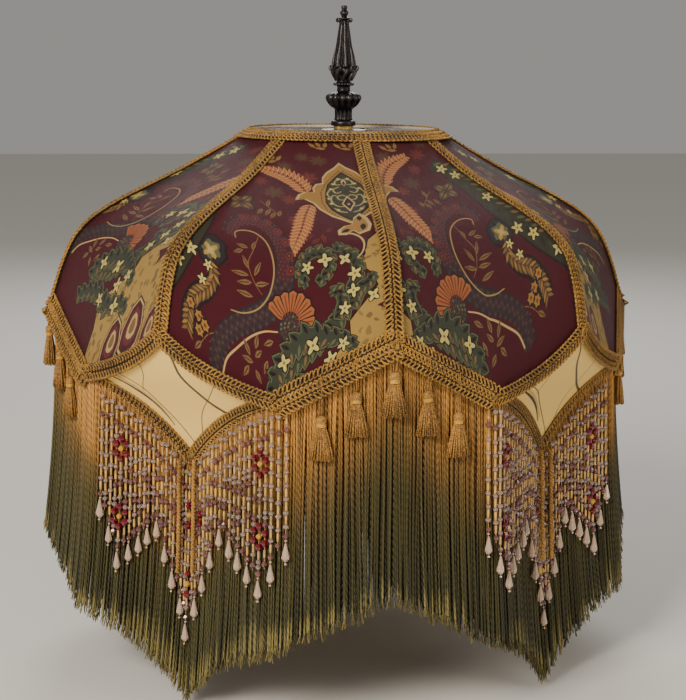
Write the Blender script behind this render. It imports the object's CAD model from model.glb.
# %% [markdown]
# # A domed lamp shade with printed panels, gimp braid, dyed fringe and beads
# The shade is a wire frame covered in cloth. Eight printed silk panels make the
# dome, four small kites of cream silk fill the lobes between them, and gimp braid
# hides every seam. Dip-dyed cord fringe hangs from the rim, strings of glass beads
# hang in front of it below each kite, and twenty tassels swing from the rim braid.
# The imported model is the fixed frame: every piece below is built round it, in metres.

import math

import bpy
import numpy as np
from mathutils import Matrix, Vector
from mathutils.geometry import delaunay_2d_cdt


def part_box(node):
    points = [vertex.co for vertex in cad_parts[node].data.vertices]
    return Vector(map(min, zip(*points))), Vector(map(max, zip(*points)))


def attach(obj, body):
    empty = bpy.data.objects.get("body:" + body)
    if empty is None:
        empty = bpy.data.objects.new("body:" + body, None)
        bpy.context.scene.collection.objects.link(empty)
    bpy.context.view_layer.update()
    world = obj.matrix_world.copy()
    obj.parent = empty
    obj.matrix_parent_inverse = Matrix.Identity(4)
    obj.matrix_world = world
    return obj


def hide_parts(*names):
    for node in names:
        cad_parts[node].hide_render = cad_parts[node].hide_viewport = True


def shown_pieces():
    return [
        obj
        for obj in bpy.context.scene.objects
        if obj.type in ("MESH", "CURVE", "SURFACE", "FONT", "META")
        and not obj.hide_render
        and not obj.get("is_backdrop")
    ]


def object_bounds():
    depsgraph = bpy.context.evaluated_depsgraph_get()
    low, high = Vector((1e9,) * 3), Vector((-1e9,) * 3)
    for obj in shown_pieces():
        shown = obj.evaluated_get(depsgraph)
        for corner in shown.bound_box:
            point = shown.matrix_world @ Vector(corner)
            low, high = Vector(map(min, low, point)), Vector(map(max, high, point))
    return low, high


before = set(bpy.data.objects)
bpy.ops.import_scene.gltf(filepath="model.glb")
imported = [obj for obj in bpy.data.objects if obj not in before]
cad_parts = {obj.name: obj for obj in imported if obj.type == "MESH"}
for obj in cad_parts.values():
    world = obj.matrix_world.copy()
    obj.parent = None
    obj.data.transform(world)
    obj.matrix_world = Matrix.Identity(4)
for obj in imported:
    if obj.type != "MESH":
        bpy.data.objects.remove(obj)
CAD_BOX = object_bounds()
chance = np.random.default_rng(7)

MM = 0.001
ring_radius, ring_depth = 76 * MM, 3 * MM
peak_radius, peak_depth = 229 * MM, 131 * MM
kite_top_radius, kite_top_depth = 217 * MM, 137.5 * MM
corner_radius, corner_depth, corner_angle = 219 * MM, 176 * MM, math.radians(21.2)
tip_radius, tip_depth = 183 * MM, 233 * MM
rib_turn = math.pi / 4
cover_inner, cover_outer = 1.9 * MM, 3.1 * MM
braid_lift, rim_braid_inset, trim_drop = 3.2 * MM, 2 * MM, 3.2 * MM
fringe_length, hang_flare = 176 * MM, 11 * MM
print("the CAD box is", [round(x, 3) for corner in CAD_BOX for x in corner])

# %% [markdown]
# ## Node trees without the clutter
# A material or a Geometry Nodes tree is a graph. Two small classes keep it readable:
# one adds a node with its settings and inputs, the other wraps a socket so that
# sums such as `1 + cloud * 0.3` can be written as Python and become Math nodes. The
# few patterns that several finishes share have a short function each.

# %% A socket that can be added and multiplied, and a tree that makes nodes


class Wire:
    """An output socket. Sums on it add Math nodes to its tree."""

    def __init__(self, tree, socket):
        self.tree = tree
        self.socket = socket

    def math(self, operation, *values):
        node = self.tree.node("ShaderNodeMath", {"operation": operation}, dict(enumerate(values)))
        return node["Value"]

    def __add__(self, other):
        return self.math("ADD", self, other)

    def __sub__(self, other):
        return self.math("SUBTRACT", self, other)

    def __mul__(self, other):
        return self.math("MULTIPLY", self, other)

    __radd__ = __add__
    __rmul__ = __mul__

    def sine(self):
        return self.math("SINE", self)

    def step(self, low, high):
        """0 below low, 1 above high, smooth between them."""
        settings = {"interpolation_type": "SMOOTHSTEP"}
        inputs = {"Value": self, "From Min": low, "From Max": high}
        return self.tree.node("ShaderNodeMapRange", settings, inputs)["Result"]


class Node:
    """A node whose outputs are read as node["Name"]."""

    def __init__(self, tree, node):
        self.tree = tree
        self.node = node

    def __getitem__(self, name):
        return Wire(self.tree, self.node.outputs[name])


def fill_ramp(ramp, stops):
    """Gives a colour ramp these stops, each a place and a colour."""
    while len(ramp.elements) < len(stops):
        ramp.elements.new(0.5)
    for element, (place, colour) in zip(ramp.elements, stops):
        element.position = place
        element.color = colour


class Tree:
    """A node tree with one way of adding a node: its type, its settings, then its inputs."""

    def __init__(self, tree):
        self.tree = tree

    def node(self, kind, settings=None, inputs=None):
        node = self.tree.nodes.new(kind)
        for name, value in (settings or {}).items():
            if name == "stops":
                fill_ramp(node.color_ramp, value)
            else:
                setattr(node, name, value)
        for name, value in (inputs or {}).items():
            socket = node.inputs[name]
            if isinstance(value, Wire):
                self.tree.links.new(value.socket, socket)
            else:
                socket.default_value = value
        return Node(self, node)

    def mix(self, factor, a, b):
        """Colour a where factor is 0 and colour b where it is 1."""
        settings = {"data_type": "RGBA"}
        node = self.node("ShaderNodeMix", settings, {0: factor, 6: a, 7: b})
        return Wire(self, node.node.outputs[2])


def noise(place, scale, detail=2.0):
    """A cloudy pattern, from 0 to 1."""
    inputs = {"Vector": place, "Scale": scale, "Detail": detail}
    return place.tree.node("ShaderNodeTexNoise", None, inputs)["Fac"]


def bands(place, direction, scale, distortion):
    """Waving bands, from 0 to 1."""
    inputs = {"Vector": place, "Scale": scale, "Distortion": distortion}
    return place.tree.node("ShaderNodeTexWave", {"bands_direction": direction}, inputs)["Fac"]


def scaled(colour, light):
    """A colour times a number."""
    inputs = {0: colour, "Scale": light}
    return light.tree.node("ShaderNodeVectorMath", {"operation": "SCALE"}, inputs)["Vector"]


def bumps(height, strength, distance):
    """A normal that leans with this height."""
    inputs = {"Strength": strength, "Distance": distance, "Height": height}
    return height.tree.node("ShaderNodeBump", None, inputs)["Normal"]


def feed(shader, **wires):
    """Links each wire to the shader's socket of that name."""
    for socket, wire in wires.items():
        wire.tree.tree.links.new(wire.socket, shader.inputs[socket.replace("_", " ")])


def carried(tree, name, kind="FLOAT"):
    """A number or a vector that a recipe's points carry."""
    return tree.node("GeometryNodeInputNamedAttribute", {"data_type": kind}, {"Name": name})["Attribute"]


def paint(red, green, blue):
    """A colour given as a screen shows it, from 0 to 255, as light values."""
    return tuple(
        ((c / 255 + 0.055) / 1.055) ** 2.4 if c > 10 else c / 255 / 12.92 for c in (red, green, blue)
    ) + (1,)


# %% [markdown]
# ## The surface that everything lies on
# The cover follows the centre line of the wires. One eighth of the dome is worked
# out between the rib of a peak and the rib of a kite, and the other seven are
# mirror images and quarter turns of it, just as the CAD frame is laid out.

# %% Ribs, rim and the patches between them


def polar(radius, angle, height):
    radius, angle, height = np.broadcast_arrays(radius, angle, height)
    return np.stack([radius * np.cos(angle), radius * np.sin(angle), height], -1)


def unit(vectors):
    return vectors / (np.linalg.norm(vectors, axis=-1, keepdims=True) + 1e-12)


def even_line(points):
    """A line through these points as a function of the share of its length."""
    points = np.asarray(points, float)
    lengths = np.linalg.norm(np.diff(points, axis=0), axis=1)
    shares = np.concatenate([[0], np.cumsum(lengths)]) / lengths.sum()

    def at(share):
        return np.stack([np.interp(share, shares, points[:, axis]) for axis in range(3)], -1)

    return at


def smooth_line(points, steps=24):
    """A smooth curve through the points (centripetal Catmull-Rom)."""
    points = np.asarray(points, float)
    points = np.vstack([2 * points[0] - points[1], points, 2 * points[-1] - points[-2]])
    made = []
    for a, b, c, d in zip(points, points[1:], points[2:], points[3:]):
        knots = np.cumsum([0] + [np.linalg.norm(q - p) ** 0.5 for p, q in ((a, b), (b, c), (c, d))])
        t = np.linspace(knots[1], knots[2], steps, endpoint=False)[:, None]
        first = (a * (knots[1] - t) + b * (t - knots[0])) / (knots[1] - knots[0])
        second = (b * (knots[2] - t) + c * (t - knots[1])) / (knots[2] - knots[1])
        third = (c * (knots[3] - t) + d * (t - knots[2])) / (knots[3] - knots[2])
        left = (first * (knots[2] - t) + second * (t - knots[0])) / (knots[2] - knots[0])
        right = (second * (knots[3] - t) + third * (t - knots[1])) / (knots[3] - knots[1])
        made.append((left * (knots[2] - t) + right * (t - knots[1])) / (knots[2] - knots[1]))
    return np.vstack(made + [points[-2:-1]])


def rib_line(shape, radius, depth, angle):
    """A rib from the ring to the rim: shape gives how far out and down it has come."""
    places = [
        polar(ring_radius + (radius - ring_radius) * out, angle, -ring_depth - (depth - ring_depth) * down)
        for out, down in shape
    ]
    return even_line(smooth_line(places))


peak_rib_shape = [(0, 0), (0.33, 0.22), (0.685, 0.434), (0.81, 0.535), (0.884, 0.637), (0.943, 0.789), (1, 1)]
kite_rib_shape = [(0, 0), (0.3, 0.208), (0.685, 0.413), (0.828, 0.513), (0.91, 0.61), (0.96, 0.755), (1, 1)]
peak = polar(peak_radius, 0, -peak_depth)
kite_top = polar(kite_top_radius, rib_turn, -kite_top_depth)
corner = polar(corner_radius, corner_angle, -corner_depth)
tip = polar(tip_radius, rib_turn, -tip_depth)
peak_rib = rib_line(peak_rib_shape, peak_radius, peak_depth, 0)
kite_rib = rib_line(kite_rib_shape, kite_top_radius, kite_top_depth, rib_turn)


def kite_side(end):
    """The bent wire from this end of a kite to its corner."""
    bend = end + (corner - end) * np.array([0.38, 0.38, 0.72])
    t = np.linspace(0, 1, 60)[:, None]
    return even_line((1 - t) ** 2 * end + 2 * t * (1 - t) * bend + t * t * corner)


upper_side = kite_side(kite_top)
lower_side = kite_side(tip)


def over_kite(points):
    return points[..., [1, 0, 2]]


def over_peak(points):
    return points * [1, -1, 1]


def spun(points, angle):
    """Points turned about the upright axis."""
    c, s = math.cos(angle), math.sin(angle)
    x, y, z = np.moveaxis(np.asarray(points), -1, 0)
    return np.stack([x * c - y * s, x * s + y * c, z], -1)


def turned(points, quarter):
    return spun(points, quarter * math.pi / 2)


corner_share = corner_angle / rib_turn
arch = even_line([peak, corner])


def panel_point(u, v):
    """On a printed panel: u from its peak rib to its kite rib, v from the ring down to the rim."""
    u, v = np.broadcast_arrays(np.asarray(u, float), np.asarray(v, float))
    across, down = u[..., None], v[..., None]
    near, far = peak_rib(v), kite_rib(v)
    ring = polar(ring_radius, u * rib_turn, -ring_depth)
    straight_top = peak_rib(0) + (kite_rib(0) - peak_rib(0)) * across
    edge_arch = arch(np.clip(u / corner_share, 0, 1))
    edge_kite = upper_side(1 - np.clip((u - corner_share) / (1 - corner_share), 0, 1))
    edge = np.where(across <= corner_share, edge_arch, edge_kite)
    straight_edge = peak + (kite_top - peak) * across
    top_bend, edge_bend = ring - straight_top, edge - straight_edge
    return near + (far - near) * across + top_bend * (1 - down) ** 3 + edge_bend * down**3


def kite_point(s, t):
    """On a kite: s along one upper side and t along the other, both from its top."""
    s, t = np.broadcast_arrays(np.asarray(s, float), np.asarray(t, float))
    along, across = s[..., None], t[..., None]
    first = upper_side(s) + (over_kite(lower_side(1 - s)) - upper_side(s)) * across
    second = over_kite(upper_side(t)) + (lower_side(1 - t) - over_kite(upper_side(t))) * along
    upper = kite_top + (corner - kite_top) * along
    lower = over_kite(corner) + (tip - over_kite(corner)) * along
    return first + second - (upper + (lower - upper) * across)


def outwards(surface, u, v):
    """Unit directions that face away from the inside of the dome."""
    step = 0.002
    du = surface(np.clip(u + step, 0, 1), v) - surface(np.clip(u - step, 0, 1), v)
    dv = surface(u, np.clip(v + step, 0, 1)) - surface(u, np.clip(v - step, 0, 1))
    normal = unit(np.cross(du, dv))
    side = np.sign((normal * (surface(u, v) + [0, 0, peak_depth])).sum(-1, keepdims=True))
    return normal * side


peak_rib_steps = np.diff(peak_rib(np.linspace(0, 1, 200)), axis=0)
print("a peak rib is", round(np.linalg.norm(peak_rib_steps, axis=1).sum() / MM, 1), "mm long")

# %% [markdown]
# ## Camera, floor and light
# The camera stands a little to the left of the front peak and just above the rim,
# looking slightly down, so that the beads and the finial show together. Light is
# soft: one large lamp to the front left, weaker ones to the right and behind, and a
# gentle sky, so that the braid and the beads still throw shadows.

# %% Camera
camera = bpy.data.objects.new("camera", bpy.data.cameras.new("camera"))
bpy.context.scene.collection.objects.link(camera)
bpy.context.scene.camera = camera
camera.data.lens = 90.7
camera.data.sensor_width = 36
camera.location = (-0.2227, -1.4013, 0.0633)
heading, dip, lean = math.radians(9.082), math.radians(9.618), 0.0085
forward = Vector((math.sin(heading) * math.cos(dip), math.cos(heading) * math.cos(dip), -math.sin(dip)))
level = forward.cross(Vector((0, 0, 1))).normalized()
raised = level.cross(forward)
right = level * math.cos(lean) + raised * math.sin(lean)
up = raised * math.cos(lean) - level * math.sin(lean)
stance = Matrix((right, up, -forward)).transposed().to_4x4()
camera.matrix_world = Matrix.Translation(camera.location) @ stance
camera.data.clip_end = 50

# %% Floor and lights


def material(name, **settings):
    """A material with one Principled shader, and the tree to add nodes to."""
    made = bpy.data.materials.new(name)
    made.use_nodes = True
    shader = made.node_tree.nodes["Principled BSDF"]
    for socket, value in settings.items():
        shader.inputs[socket.replace("_", " ")].default_value = value
    return made, Tree(made.node_tree), shader


floor_finish, _, _ = material("pale_floor", Base_Color=paint(222, 219, 213), Roughness=0.8)
floor_height = CAD_BOX[0].z - 15 * MM
bpy.ops.mesh.primitive_plane_add(size=14, location=(0, 0, floor_height))
floor = bpy.context.object
floor.name = "floor"
floor.data.materials.append(floor_finish)
floor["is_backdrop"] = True


def lamp(name, place, aim, power, size, colour=(1, 1, 1)):
    light = bpy.data.lights.new(name, "AREA")
    light.energy = power
    light.size = size
    light.color = colour
    made = bpy.data.objects.new(name, light)
    made.location = place
    made.rotation_euler = (Vector(aim) - Vector(place)).to_track_quat("-Z", "Y").to_euler()
    bpy.context.scene.collection.objects.link(made)


middle = (0, 0, -0.16)
lamp("key_light", (-1.25, -1.7, 0.95), middle, 66, 0.8, (1, 0.93, 0.82))
lamp("fill_light", (1.6, -1.3, 0.5), middle, 15, 1.2, (1, 0.93, 0.84))
lamp("back_light", (0.3, 1.9, 1.2), middle, 20, 1.2)
world = bpy.data.worlds.new("studio")
bpy.context.scene.world = world
world.use_nodes = True
world.node_tree.nodes["Background"].inputs["Color"].default_value = (1, 0.97, 0.92, 1)
world.node_tree.nodes["Background"].inputs["Strength"].default_value = 0.3

# %% [markdown]
# ## Cutting cloth to shape
# A printed pattern is a drawing of flat shapes laid over each other. Each shape is an
# outline on the flat cloth, and a constrained triangulation cuts the cloth along every
# outline at once, so that the print stays crisp however close one looks. Each little
# face then takes the colour of the topmost shape over it, and the flat cloth is bent
# onto the dome as one closed sheet with a real thickness.

# %% Flat outlines


def wide_line(path, start, middle=None, end=None):
    """The outline of a line through these points, with its width at the start, middle and end."""
    middle = start if middle is None else middle
    end = middle if end is None else end
    path = smooth_line(path, 5)
    across = unit(np.gradient(path, axis=0))[:, ::-1] * [-1, 1]
    t = np.linspace(0, 1, len(path))
    half = np.interp(t, [0, 0.5, 1], [start / 2, middle / 2, end / 2])[:, None]
    return np.vstack([path + across * half, (path - across * half)[::-1]])


def leaf(base, point, width):
    """A pointed leaf from its base to its point."""
    base, point = np.array(base, float), np.array(point, float)
    ahead = point - base
    across = ahead[::-1] * [-1, 1] / np.linalg.norm(ahead)
    shape = [
        (0, 0), (0.22, 0.36), (0.45, 0.5), (0.72, 0.32), (1, 0), (0.72, -0.32), (0.45, -0.5),
        (0.22, -0.36),
    ]
    return np.array([base + ahead * a + across * width * b for a, b in shape])


def stroke(colour, path, *widths):
    """A coloured line, as a list of one shape."""
    return [(colour, wide_line(path, *widths))]


def flat_path(points):
    """A smooth line on the flat cloth, as a function of the share of its length."""
    return even_line([(x, y, 0) for x, y in smooth_line(points, 6)])


def walk(path, share, step):
    """A place on a flat path, the way ahead there and the way across it."""
    here = path(share)[:2]
    ahead = unit((path(min(1, share + step)) - path(share - step))[:2])
    return here, ahead, ahead[::-1] * [-1, 1]


def round_shape(centre, radius, lobes=0, depth=0.0, turn=0.0, points=18):
    """A circle, or a flower with this many lobes."""
    angle = np.linspace(0, 2 * math.pi, points, endpoint=False)
    reach = radius * (1 + depth * np.cos(lobes * (angle - turn)))
    return np.array(centre) + np.stack([reach * np.cos(angle), reach * np.sin(angle)], -1)


def rings(centre, *layers):
    """Rounds laid over each other: each is a colour, then what round_shape takes after its centre."""
    return [(colour, round_shape(centre, *sizes)) for colour, *sizes in layers]


def mirrored(outline, middle):
    return outline * [-1, 1] + [2 * middle, 0]


def inside(points, outline):
    """Whether the outline runs round each flat point."""
    x, y = points[:, 0], points[:, 1]
    rounds = np.zeros(len(points), int)
    for (ax, ay), (bx, by) in zip(outline, np.roll(outline, -1, axis=0)):
        left = (bx - ax) * (y - ay) - (x - ax) * (by - ay)
        rounds += ((ay <= y) & (by > y) & (left > 0)).astype(int)
        rounds -= ((ay > y) & (by <= y) & (left < 0)).astype(int)
    return rounds != 0


# %% One closed sheet from flat cloth


def cut_cloth(outline, shapes, spacing):
    """Cuts the cloth inside outline along every shape: points, triangles and the shape on top of each."""
    low, high = outline.min(0), outline.max(0)
    lattice = np.stack(
        np.meshgrid(np.arange(low[0], high[0], spacing), np.arange(low[1], high[1], spacing)), -1
    )
    lattice = lattice.reshape(-1, 2) + spacing / 2
    lattice = lattice[inside(lattice, outline)]
    near = [i for i, (_, s) in enumerate(shapes) if (s.max(0) > low).all() and (s.min(0) < high).all()]
    rings = [outline] + [shapes[i][1] for i in near]
    points, cuts_along = [], []
    for ring in rings:
        start = len(points)
        points += [Vector(p) for p in ring]
        cuts_along += [(start + i, start + (i + 1) % len(ring)) for i in range(len(ring))]
    points += [Vector(p) for p in lattice]
    flat, _, triangles, _, _, _ = delaunay_2d_cdt(points, cuts_along, [], 0, 1e-4)
    flat = np.array([tuple(p) for p in flat])
    triangles = np.array(triangles)
    middles = flat[triangles].mean(1)
    kept = inside(middles, outline)
    triangles, middles = triangles[kept], middles[kept]
    top = np.zeros(len(triangles), int)
    for i in near:
        ring = shapes[i][1]
        close = np.flatnonzero(((middles > ring.min(0)) & (middles < ring.max(0))).all(1))
        top[close[inside(middles[close], ring)]] = i + 1
    used, triangles = np.unique(triangles, return_inverse=True)
    return flat[used], triangles.reshape(-1, 3), top


def new_mesh(name, points, faces, finishes, marks=None):
    """A mesh object from plain lists; marks are each face's place in the finishes."""
    mesh = bpy.data.meshes.new(name)
    mesh.from_pydata([tuple(p) for p in points], [], [tuple(int(i) for i in f) for f in faces])
    for finish in finishes:
        mesh.materials.append(finish)
    made = bpy.data.objects.new(name, mesh)
    bpy.context.scene.collection.objects.link(made)
    mesh.shade_smooth()
    if marks is not None:
        mesh.polygons.foreach_set("material_index", np.asarray(marks, np.int32))
    mesh.update()
    return made


def paint_cloth(made, corner_colours, flat_places):
    """Gives a sheet its print, corner by corner, and each point's place on the flat cloth."""
    colours = np.asarray(corner_colours, np.float32)
    made.data.attributes.new("print", "FLOAT_COLOR", "CORNER").data.foreach_set("color", colours.ravel())
    corners = np.zeros(len(made.data.loops), int)
    made.data.loops.foreach_get("vertex_index", corners)
    flat_map = made.data.uv_layers.new(name="cloth")
    flat_map.uv.foreach_set("vector", flat_places[corners].astype(np.float32).ravel())


def sheet_from(name, flat, triangles, top, bend, palette, finish):
    """Bends cut cloth with bend(flat) -> outer and inner points, closes its edges and paints its print."""
    outer, inner = bend(flat)
    a, b, c = (outer[triangles[:, k]] for k in range(3))
    facing = (np.cross(b - a, c - a) * (outer - inner)[triangles[:, 0]]).sum(1).mean()
    if facing < 0:
        triangles = triangles[:, ::-1]
    count = len(flat)
    edges = np.vstack([triangles[:, [0, 1]], triangles[:, [1, 2]], triangles[:, [2, 0]]])
    keys = {tuple(e) for e in edges}
    rim = [e for e in keys if (e[1], e[0]) not in keys]
    walls = [(a + count, b + count, b, a) for a, b in rim]
    faces = [tuple(t) for t in triangles] + [tuple(t[::-1] + count) for t in triangles] + walls
    made = new_mesh(name, np.vstack([outer, inner]), faces, [finish])
    colours = np.array([palette[i] for i in top] * 2 + [palette[0]] * len(walls))
    sizes = np.array([len(f) for f in faces])
    paint_cloth(made, np.repeat(colours, sizes, axis=0), np.vstack([flat, flat]) * 10)
    return made


def area_of(made):
    return sum(p.area for p in made.data.polygons) / 2


# %% [markdown]
# ## The paisley print
# The silk carries a large paisley: an ogee medallion with a cream edge, orange ferns,
# a scaly grey band round a cream-lined drop, a shell, green scrolls with small cream
# flowers and a mottled gold ground below. It is drawn once on the flat cloth, in
# millimetres across and down from the top of the front seam, and each panel is
# cut from it at its own place, as the maker laid the pattern pieces out.

# %% The colours of the print
ink = {
    "burgundy": paint(64, 7, 20),
    "dark": paint(30, 16, 18),
    "cream": paint(172, 146, 94),
    "cord_cream": paint(144, 118, 72),
    "band_mark": paint(66, 54, 44),
    "blossom": paint(184, 168, 94),
    "gold": paint(140, 102, 46),
    "pale_gold": paint(158, 124, 62),
    "ground": paint(152, 122, 62),
    "ground_shade": paint(122, 98, 52),
    "olive": paint(46, 44, 30),
    "deep_green": paint(50, 54, 42),
    "sage": paint(84, 86, 56),
    "grey": paint(54, 34, 38),
    "slate": paint(38, 30, 34),
    "scale": paint(92, 34, 36),
    "orange": paint(146, 84, 46),
    "fern_edge": paint(176, 124, 76),
    "rust": paint(106, 48, 30),
    "sprig": paint(112, 84, 50),
    "blurred_olive": paint(72, 50, 32),
    "blurred_rust": paint(94, 36, 30),
    "blurred_edge": paint(74, 22, 26),
    "petal_red": paint(66, 14, 24),
}

# %% Motifs drawn on the flat cloth


def draw_flower(centre, size, turn=0.3, petals=5):
    outer, inner = (size, petals, 0.25, turn, 20), (size * 0.76, petals, 0.48, turn, 20)
    return rings(centre, ("dark", *outer), ("blossom", *inner), ("sprig", size * 0.2, 0, 0, 0, 6))


def draw_fern(path, reach, count):
    """A serrated leaf: pairs of leaflets along a bent stem, shorter towards its end."""
    line = flat_path(path)
    shapes = []
    for i in range(count):
        t = 0.04 + 0.94 * i / (count - 1)
        here, ahead, across = walk(line, t, 0.03)
        length = reach * (0.45 + 0.9 * math.sin(math.pi * min(1, 0.25 + t * 0.72)))
        for side in (-1, 1):
            point = here + across * side * length * 0.8 + ahead * length * 0.62
            shapes.append(("fern_edge", leaf(here - ahead, point + ahead * 0.6, 3.6)))
            shapes.append(("orange", leaf(here, point - ahead * 0.3, 1.9)))
    return shapes + stroke("rust", line(np.linspace(0, 1, 6))[:, :2], 1.0, 0.8, 0.3)


def draw_sprig(stem, leaves, colour="sprig"):
    """A thin stem with leaves, each from its base to its point."""
    shapes = stroke(colour, stem, 0.5, 0.7, 0.4) if stem else []
    for base, point in leaves:
        base, point = np.array(base, float), np.array(point, float)
        shapes.append((colour, leaf(base, point, 3.4)))
        vein = [base * 0.8 + point * 0.2, (base + point) / 2, base * 0.15 + point * 0.85]
        shapes += stroke("dark", vein, 0.5)
    return shapes


heart_lace = [
    [(22, 99), (28, 98), (32, 91), (30, 83), (26, 85)],
    [(24, 71), (29, 75), (27, 80), (23, 78)],
    [(21, 60), (26, 63), (26, 68), (22, 68)],
    [(22, 90), (26, 89), (27, 85), (23, 83), (21, 85)],
    [(22, 107), (27, 105), (31, 100)],
    [(31, 74), (34, 81), (32, 86)],
]


def draw_medallion():
    """The ogee medallion: cream edge, stippled gold band, dark heart with scrolls."""
    middle = 20.0
    right = [
        (20, 37), (24, 43), (31, 50), (35, 57), (36, 65), (41, 66), (44, 71), (44, 77), (51, 77),
        (56, 80), (59, 87), (52, 86), (46, 92), (42, 101), (34, 111), (26, 117), (21, 121),
    ]
    heart = [(20, 51), (26, 59), (32, 68), (35, 80), (36, 92), (33, 102), (27, 110), (20, 117)]
    shapes = []
    for colour, line, shrink in (
        ("cream", right, 1.0), ("gold", right, 0.94), ("dark", heart, 1.04), ("olive", heart, 0.97)
    ):
        half = (np.array(line, float) - [middle, 84]) * shrink + [middle, 84]
        whole = np.vstack([half, mirrored(half, middle)[::-1][1:-1]])
        shapes.append((colour, whole))
    for side in (-1, 1):
        stippled = [(21, 48), (27, 56), (33.5, 66), (38.5, 78), (39, 92), (36, 103), (29, 112)]
        dots = even_line([(middle + side * (x - middle), y, 0) for x, y in stippled])
        shapes += [("dark", round_shape(dots(t)[:2], 0.75, points=6)) for t in np.linspace(0.02, 0.98, 26)]
        for lace in heart_lace:
            curl = np.array(lace, float)
            curl[:, 0] = middle + side * (curl[:, 0] - middle)
            shapes += stroke("sage", curl, 1.6, 2.2, 1.4) + stroke("cream", curl, 0.4, 0.8, 0.4)
        for y, reach in ((60, 3.5), (67, 8), (74, 10.5), (87, 13.5), (94, 12.5), (103, 8.5)):
            shapes.append(("blossom", round_shape((middle + side * reach, y), 1.4, 5, 0.4, points=10)))
        shapes.append(("grey", leaf((middle, 106), (middle + side * 8, 99), 3)))
    shapes += [("cream", leaf((middle, 60), (middle, 71), 4)), ("dark", leaf((middle, 63), (middle, 70), 2))]
    diamond = np.array([(20, 84), (25, 95), (20, 106), (15, 95)], float)
    shapes.append(("cream", diamond))
    shapes.append(("dark", (diamond - [20, 95]) * 0.76 + [20, 95]))
    shapes.append(("grey", (diamond - [20, 95]) * 0.4 + [20, 95]))
    shapes.append(("cream", round_shape((20, 96), 1.1, points=6)))
    return shapes


def draw_bird_scroll():
    """The small gold scroll under the medallion, and the cream arc that runs on from it."""
    body = [
        (14, 109), (19, 114), (21, 122), (27, 123), (32, 127), (32, 132), (26, 133), (21, 129), (17, 134),
        (9, 131), (7, 124), (9, 116),
    ]
    body = np.array(body, float)
    shapes = [("cream", body), ("gold", (body - body.mean(0)) * 0.8 + body.mean(0))]
    shapes += [
        ("dark", leaf((15, 112), (15, 119), 4)), ("dark", leaf((13, 122), (14, 130), 4.5)),
        ("dark", leaf((23, 127), (30, 130), 3.5)),
    ]
    arc = [(32, 131), (23, 132), (17, 137), (15, 144), (17, 151), (21, 155)]
    return shapes + stroke("cream", arc, 1.4, 1.6, 0.8)


def draw_paisley():
    """The drop: a scaly grey band outside, a cream line, and a sprig on burgundy inside."""
    band = [
        (113, 131), (110, 121), (100, 115), (88, 117), (79, 126), (74, 139), (73, 153), (77, 166),
        (86, 176), (100, 183), (114, 189), (126, 197), (135, 207), (140, 220),
    ]
    shapes = stroke("slate", band, 8, 16, 10) + stroke("grey", band, 6, 13, 7.5)
    path = flat_path(band)
    for i in range(62):
        t = i / 62
        here, _, across = walk(path, t, 0.01)
        for row in (-1.5, -0.5, 0.5, 1.5):
            spot = here + across * (row * 3.0 + (i % 2) * 1.2)
            colour = "scale" if t < 0.48 and row < 1 else "slate" if (i + int(row + 2)) % 2 else "band_mark"
            shapes.append((colour, round_shape(spot, 1.05, points=6)))
    for x, y in ((76, 124), (83, 116), (92, 112), (101, 112), (71, 133), (69, 144), (69, 155)):
        shapes += rings(
            (x, y), ("scale", 3.4, 6, 0.15), ("dark", 1.5, 0, 0, 0, 8), ("sprig", 0.8, 0, 0, 0, 6)
        )
    inner_line = [
        (109, 134), (109, 129), (103, 126), (94, 127), (86, 134), (82, 146), (82, 158), (87, 170),
        (96, 178), (108, 182), (118, 182),
    ]
    shapes += stroke("cord_cream", inner_line, 0.8, 1.3, 0.7)
    stem = [(91, 130), (96, 142), (101, 153), (97, 164), (92, 170)]
    leaves = [
        ((100, 141), (109, 139)), ((97, 142), (94, 135)), ((97, 160), (91, 150)),
        ((101, 156), (105, 147)), ((101, 160), (115, 159)), ((97, 165), (86, 163)),
        ((99, 164), (111, 165)), ((99, 172), (112, 170)), ((104, 143), (112, 146)),
    ]
    return shapes + draw_sprig(stem, leaves)


def draw_lower_drop():
    """The second drop, a dotted rosette and the shell beside it."""
    shapes = rings((72, 187), ("slate", 10), ("grey", 8.6))
    for ring, count in ((2.4, 7), (5, 13), (7.6, 19)):
        for i in range(count):
            angle = 2 * math.pi * i / count
            spot = (72 + ring * math.cos(angle), 187 + ring * math.sin(angle))
            shapes.append(("sage" if i % 3 == 0 else "band_mark", round_shape(spot, 0.9, points=6)))
    tail = [(82, 188), (92, 189), (103, 193), (116, 201), (127, 209), (133, 218)]
    shapes += stroke("cream", tail, 0.8, 1.2, 1.3)
    shapes += draw_sprig(
        None,
        [((86, 193), (94, 196)), ((101, 199), (98, 191)), ((102, 203), (96, 199)), ((106, 203), (110, 195))],
    )
    shapes += draw_sprig(
        None,
        [((104, 206), (113, 204)), ((103, 209), (99, 215)), ((108, 208), (114, 214)), ((92, 203), (96, 210))],
    )
    for i in range(8):
        angle = math.radians(172 + 21 * i)
        base = np.array([73 + 5.5 * math.cos(angle), 186 + 6 * math.sin(angle)])
        point = np.array([73 + 18.5 * math.cos(angle), 186 + 18.5 * math.sin(angle)])
        across = np.array([-math.sin(angle), math.cos(angle)])
        wedge = [
            base - across * 1.4, point - across * 3.2, point + (point - base) * 0.13,
            point + across * 3.2, base + across * 1.4,
        ]
        shapes.append(("dark", np.array(wedge)))
        shapes.append(("orange", (np.array(wedge) - (base + point) / 2) * 0.84 + (base + point) / 2))
        shapes += stroke("rust", [base, (base + point) / 2, point * 0.86 + base * 0.14], 0.9)
    return shapes


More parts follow.
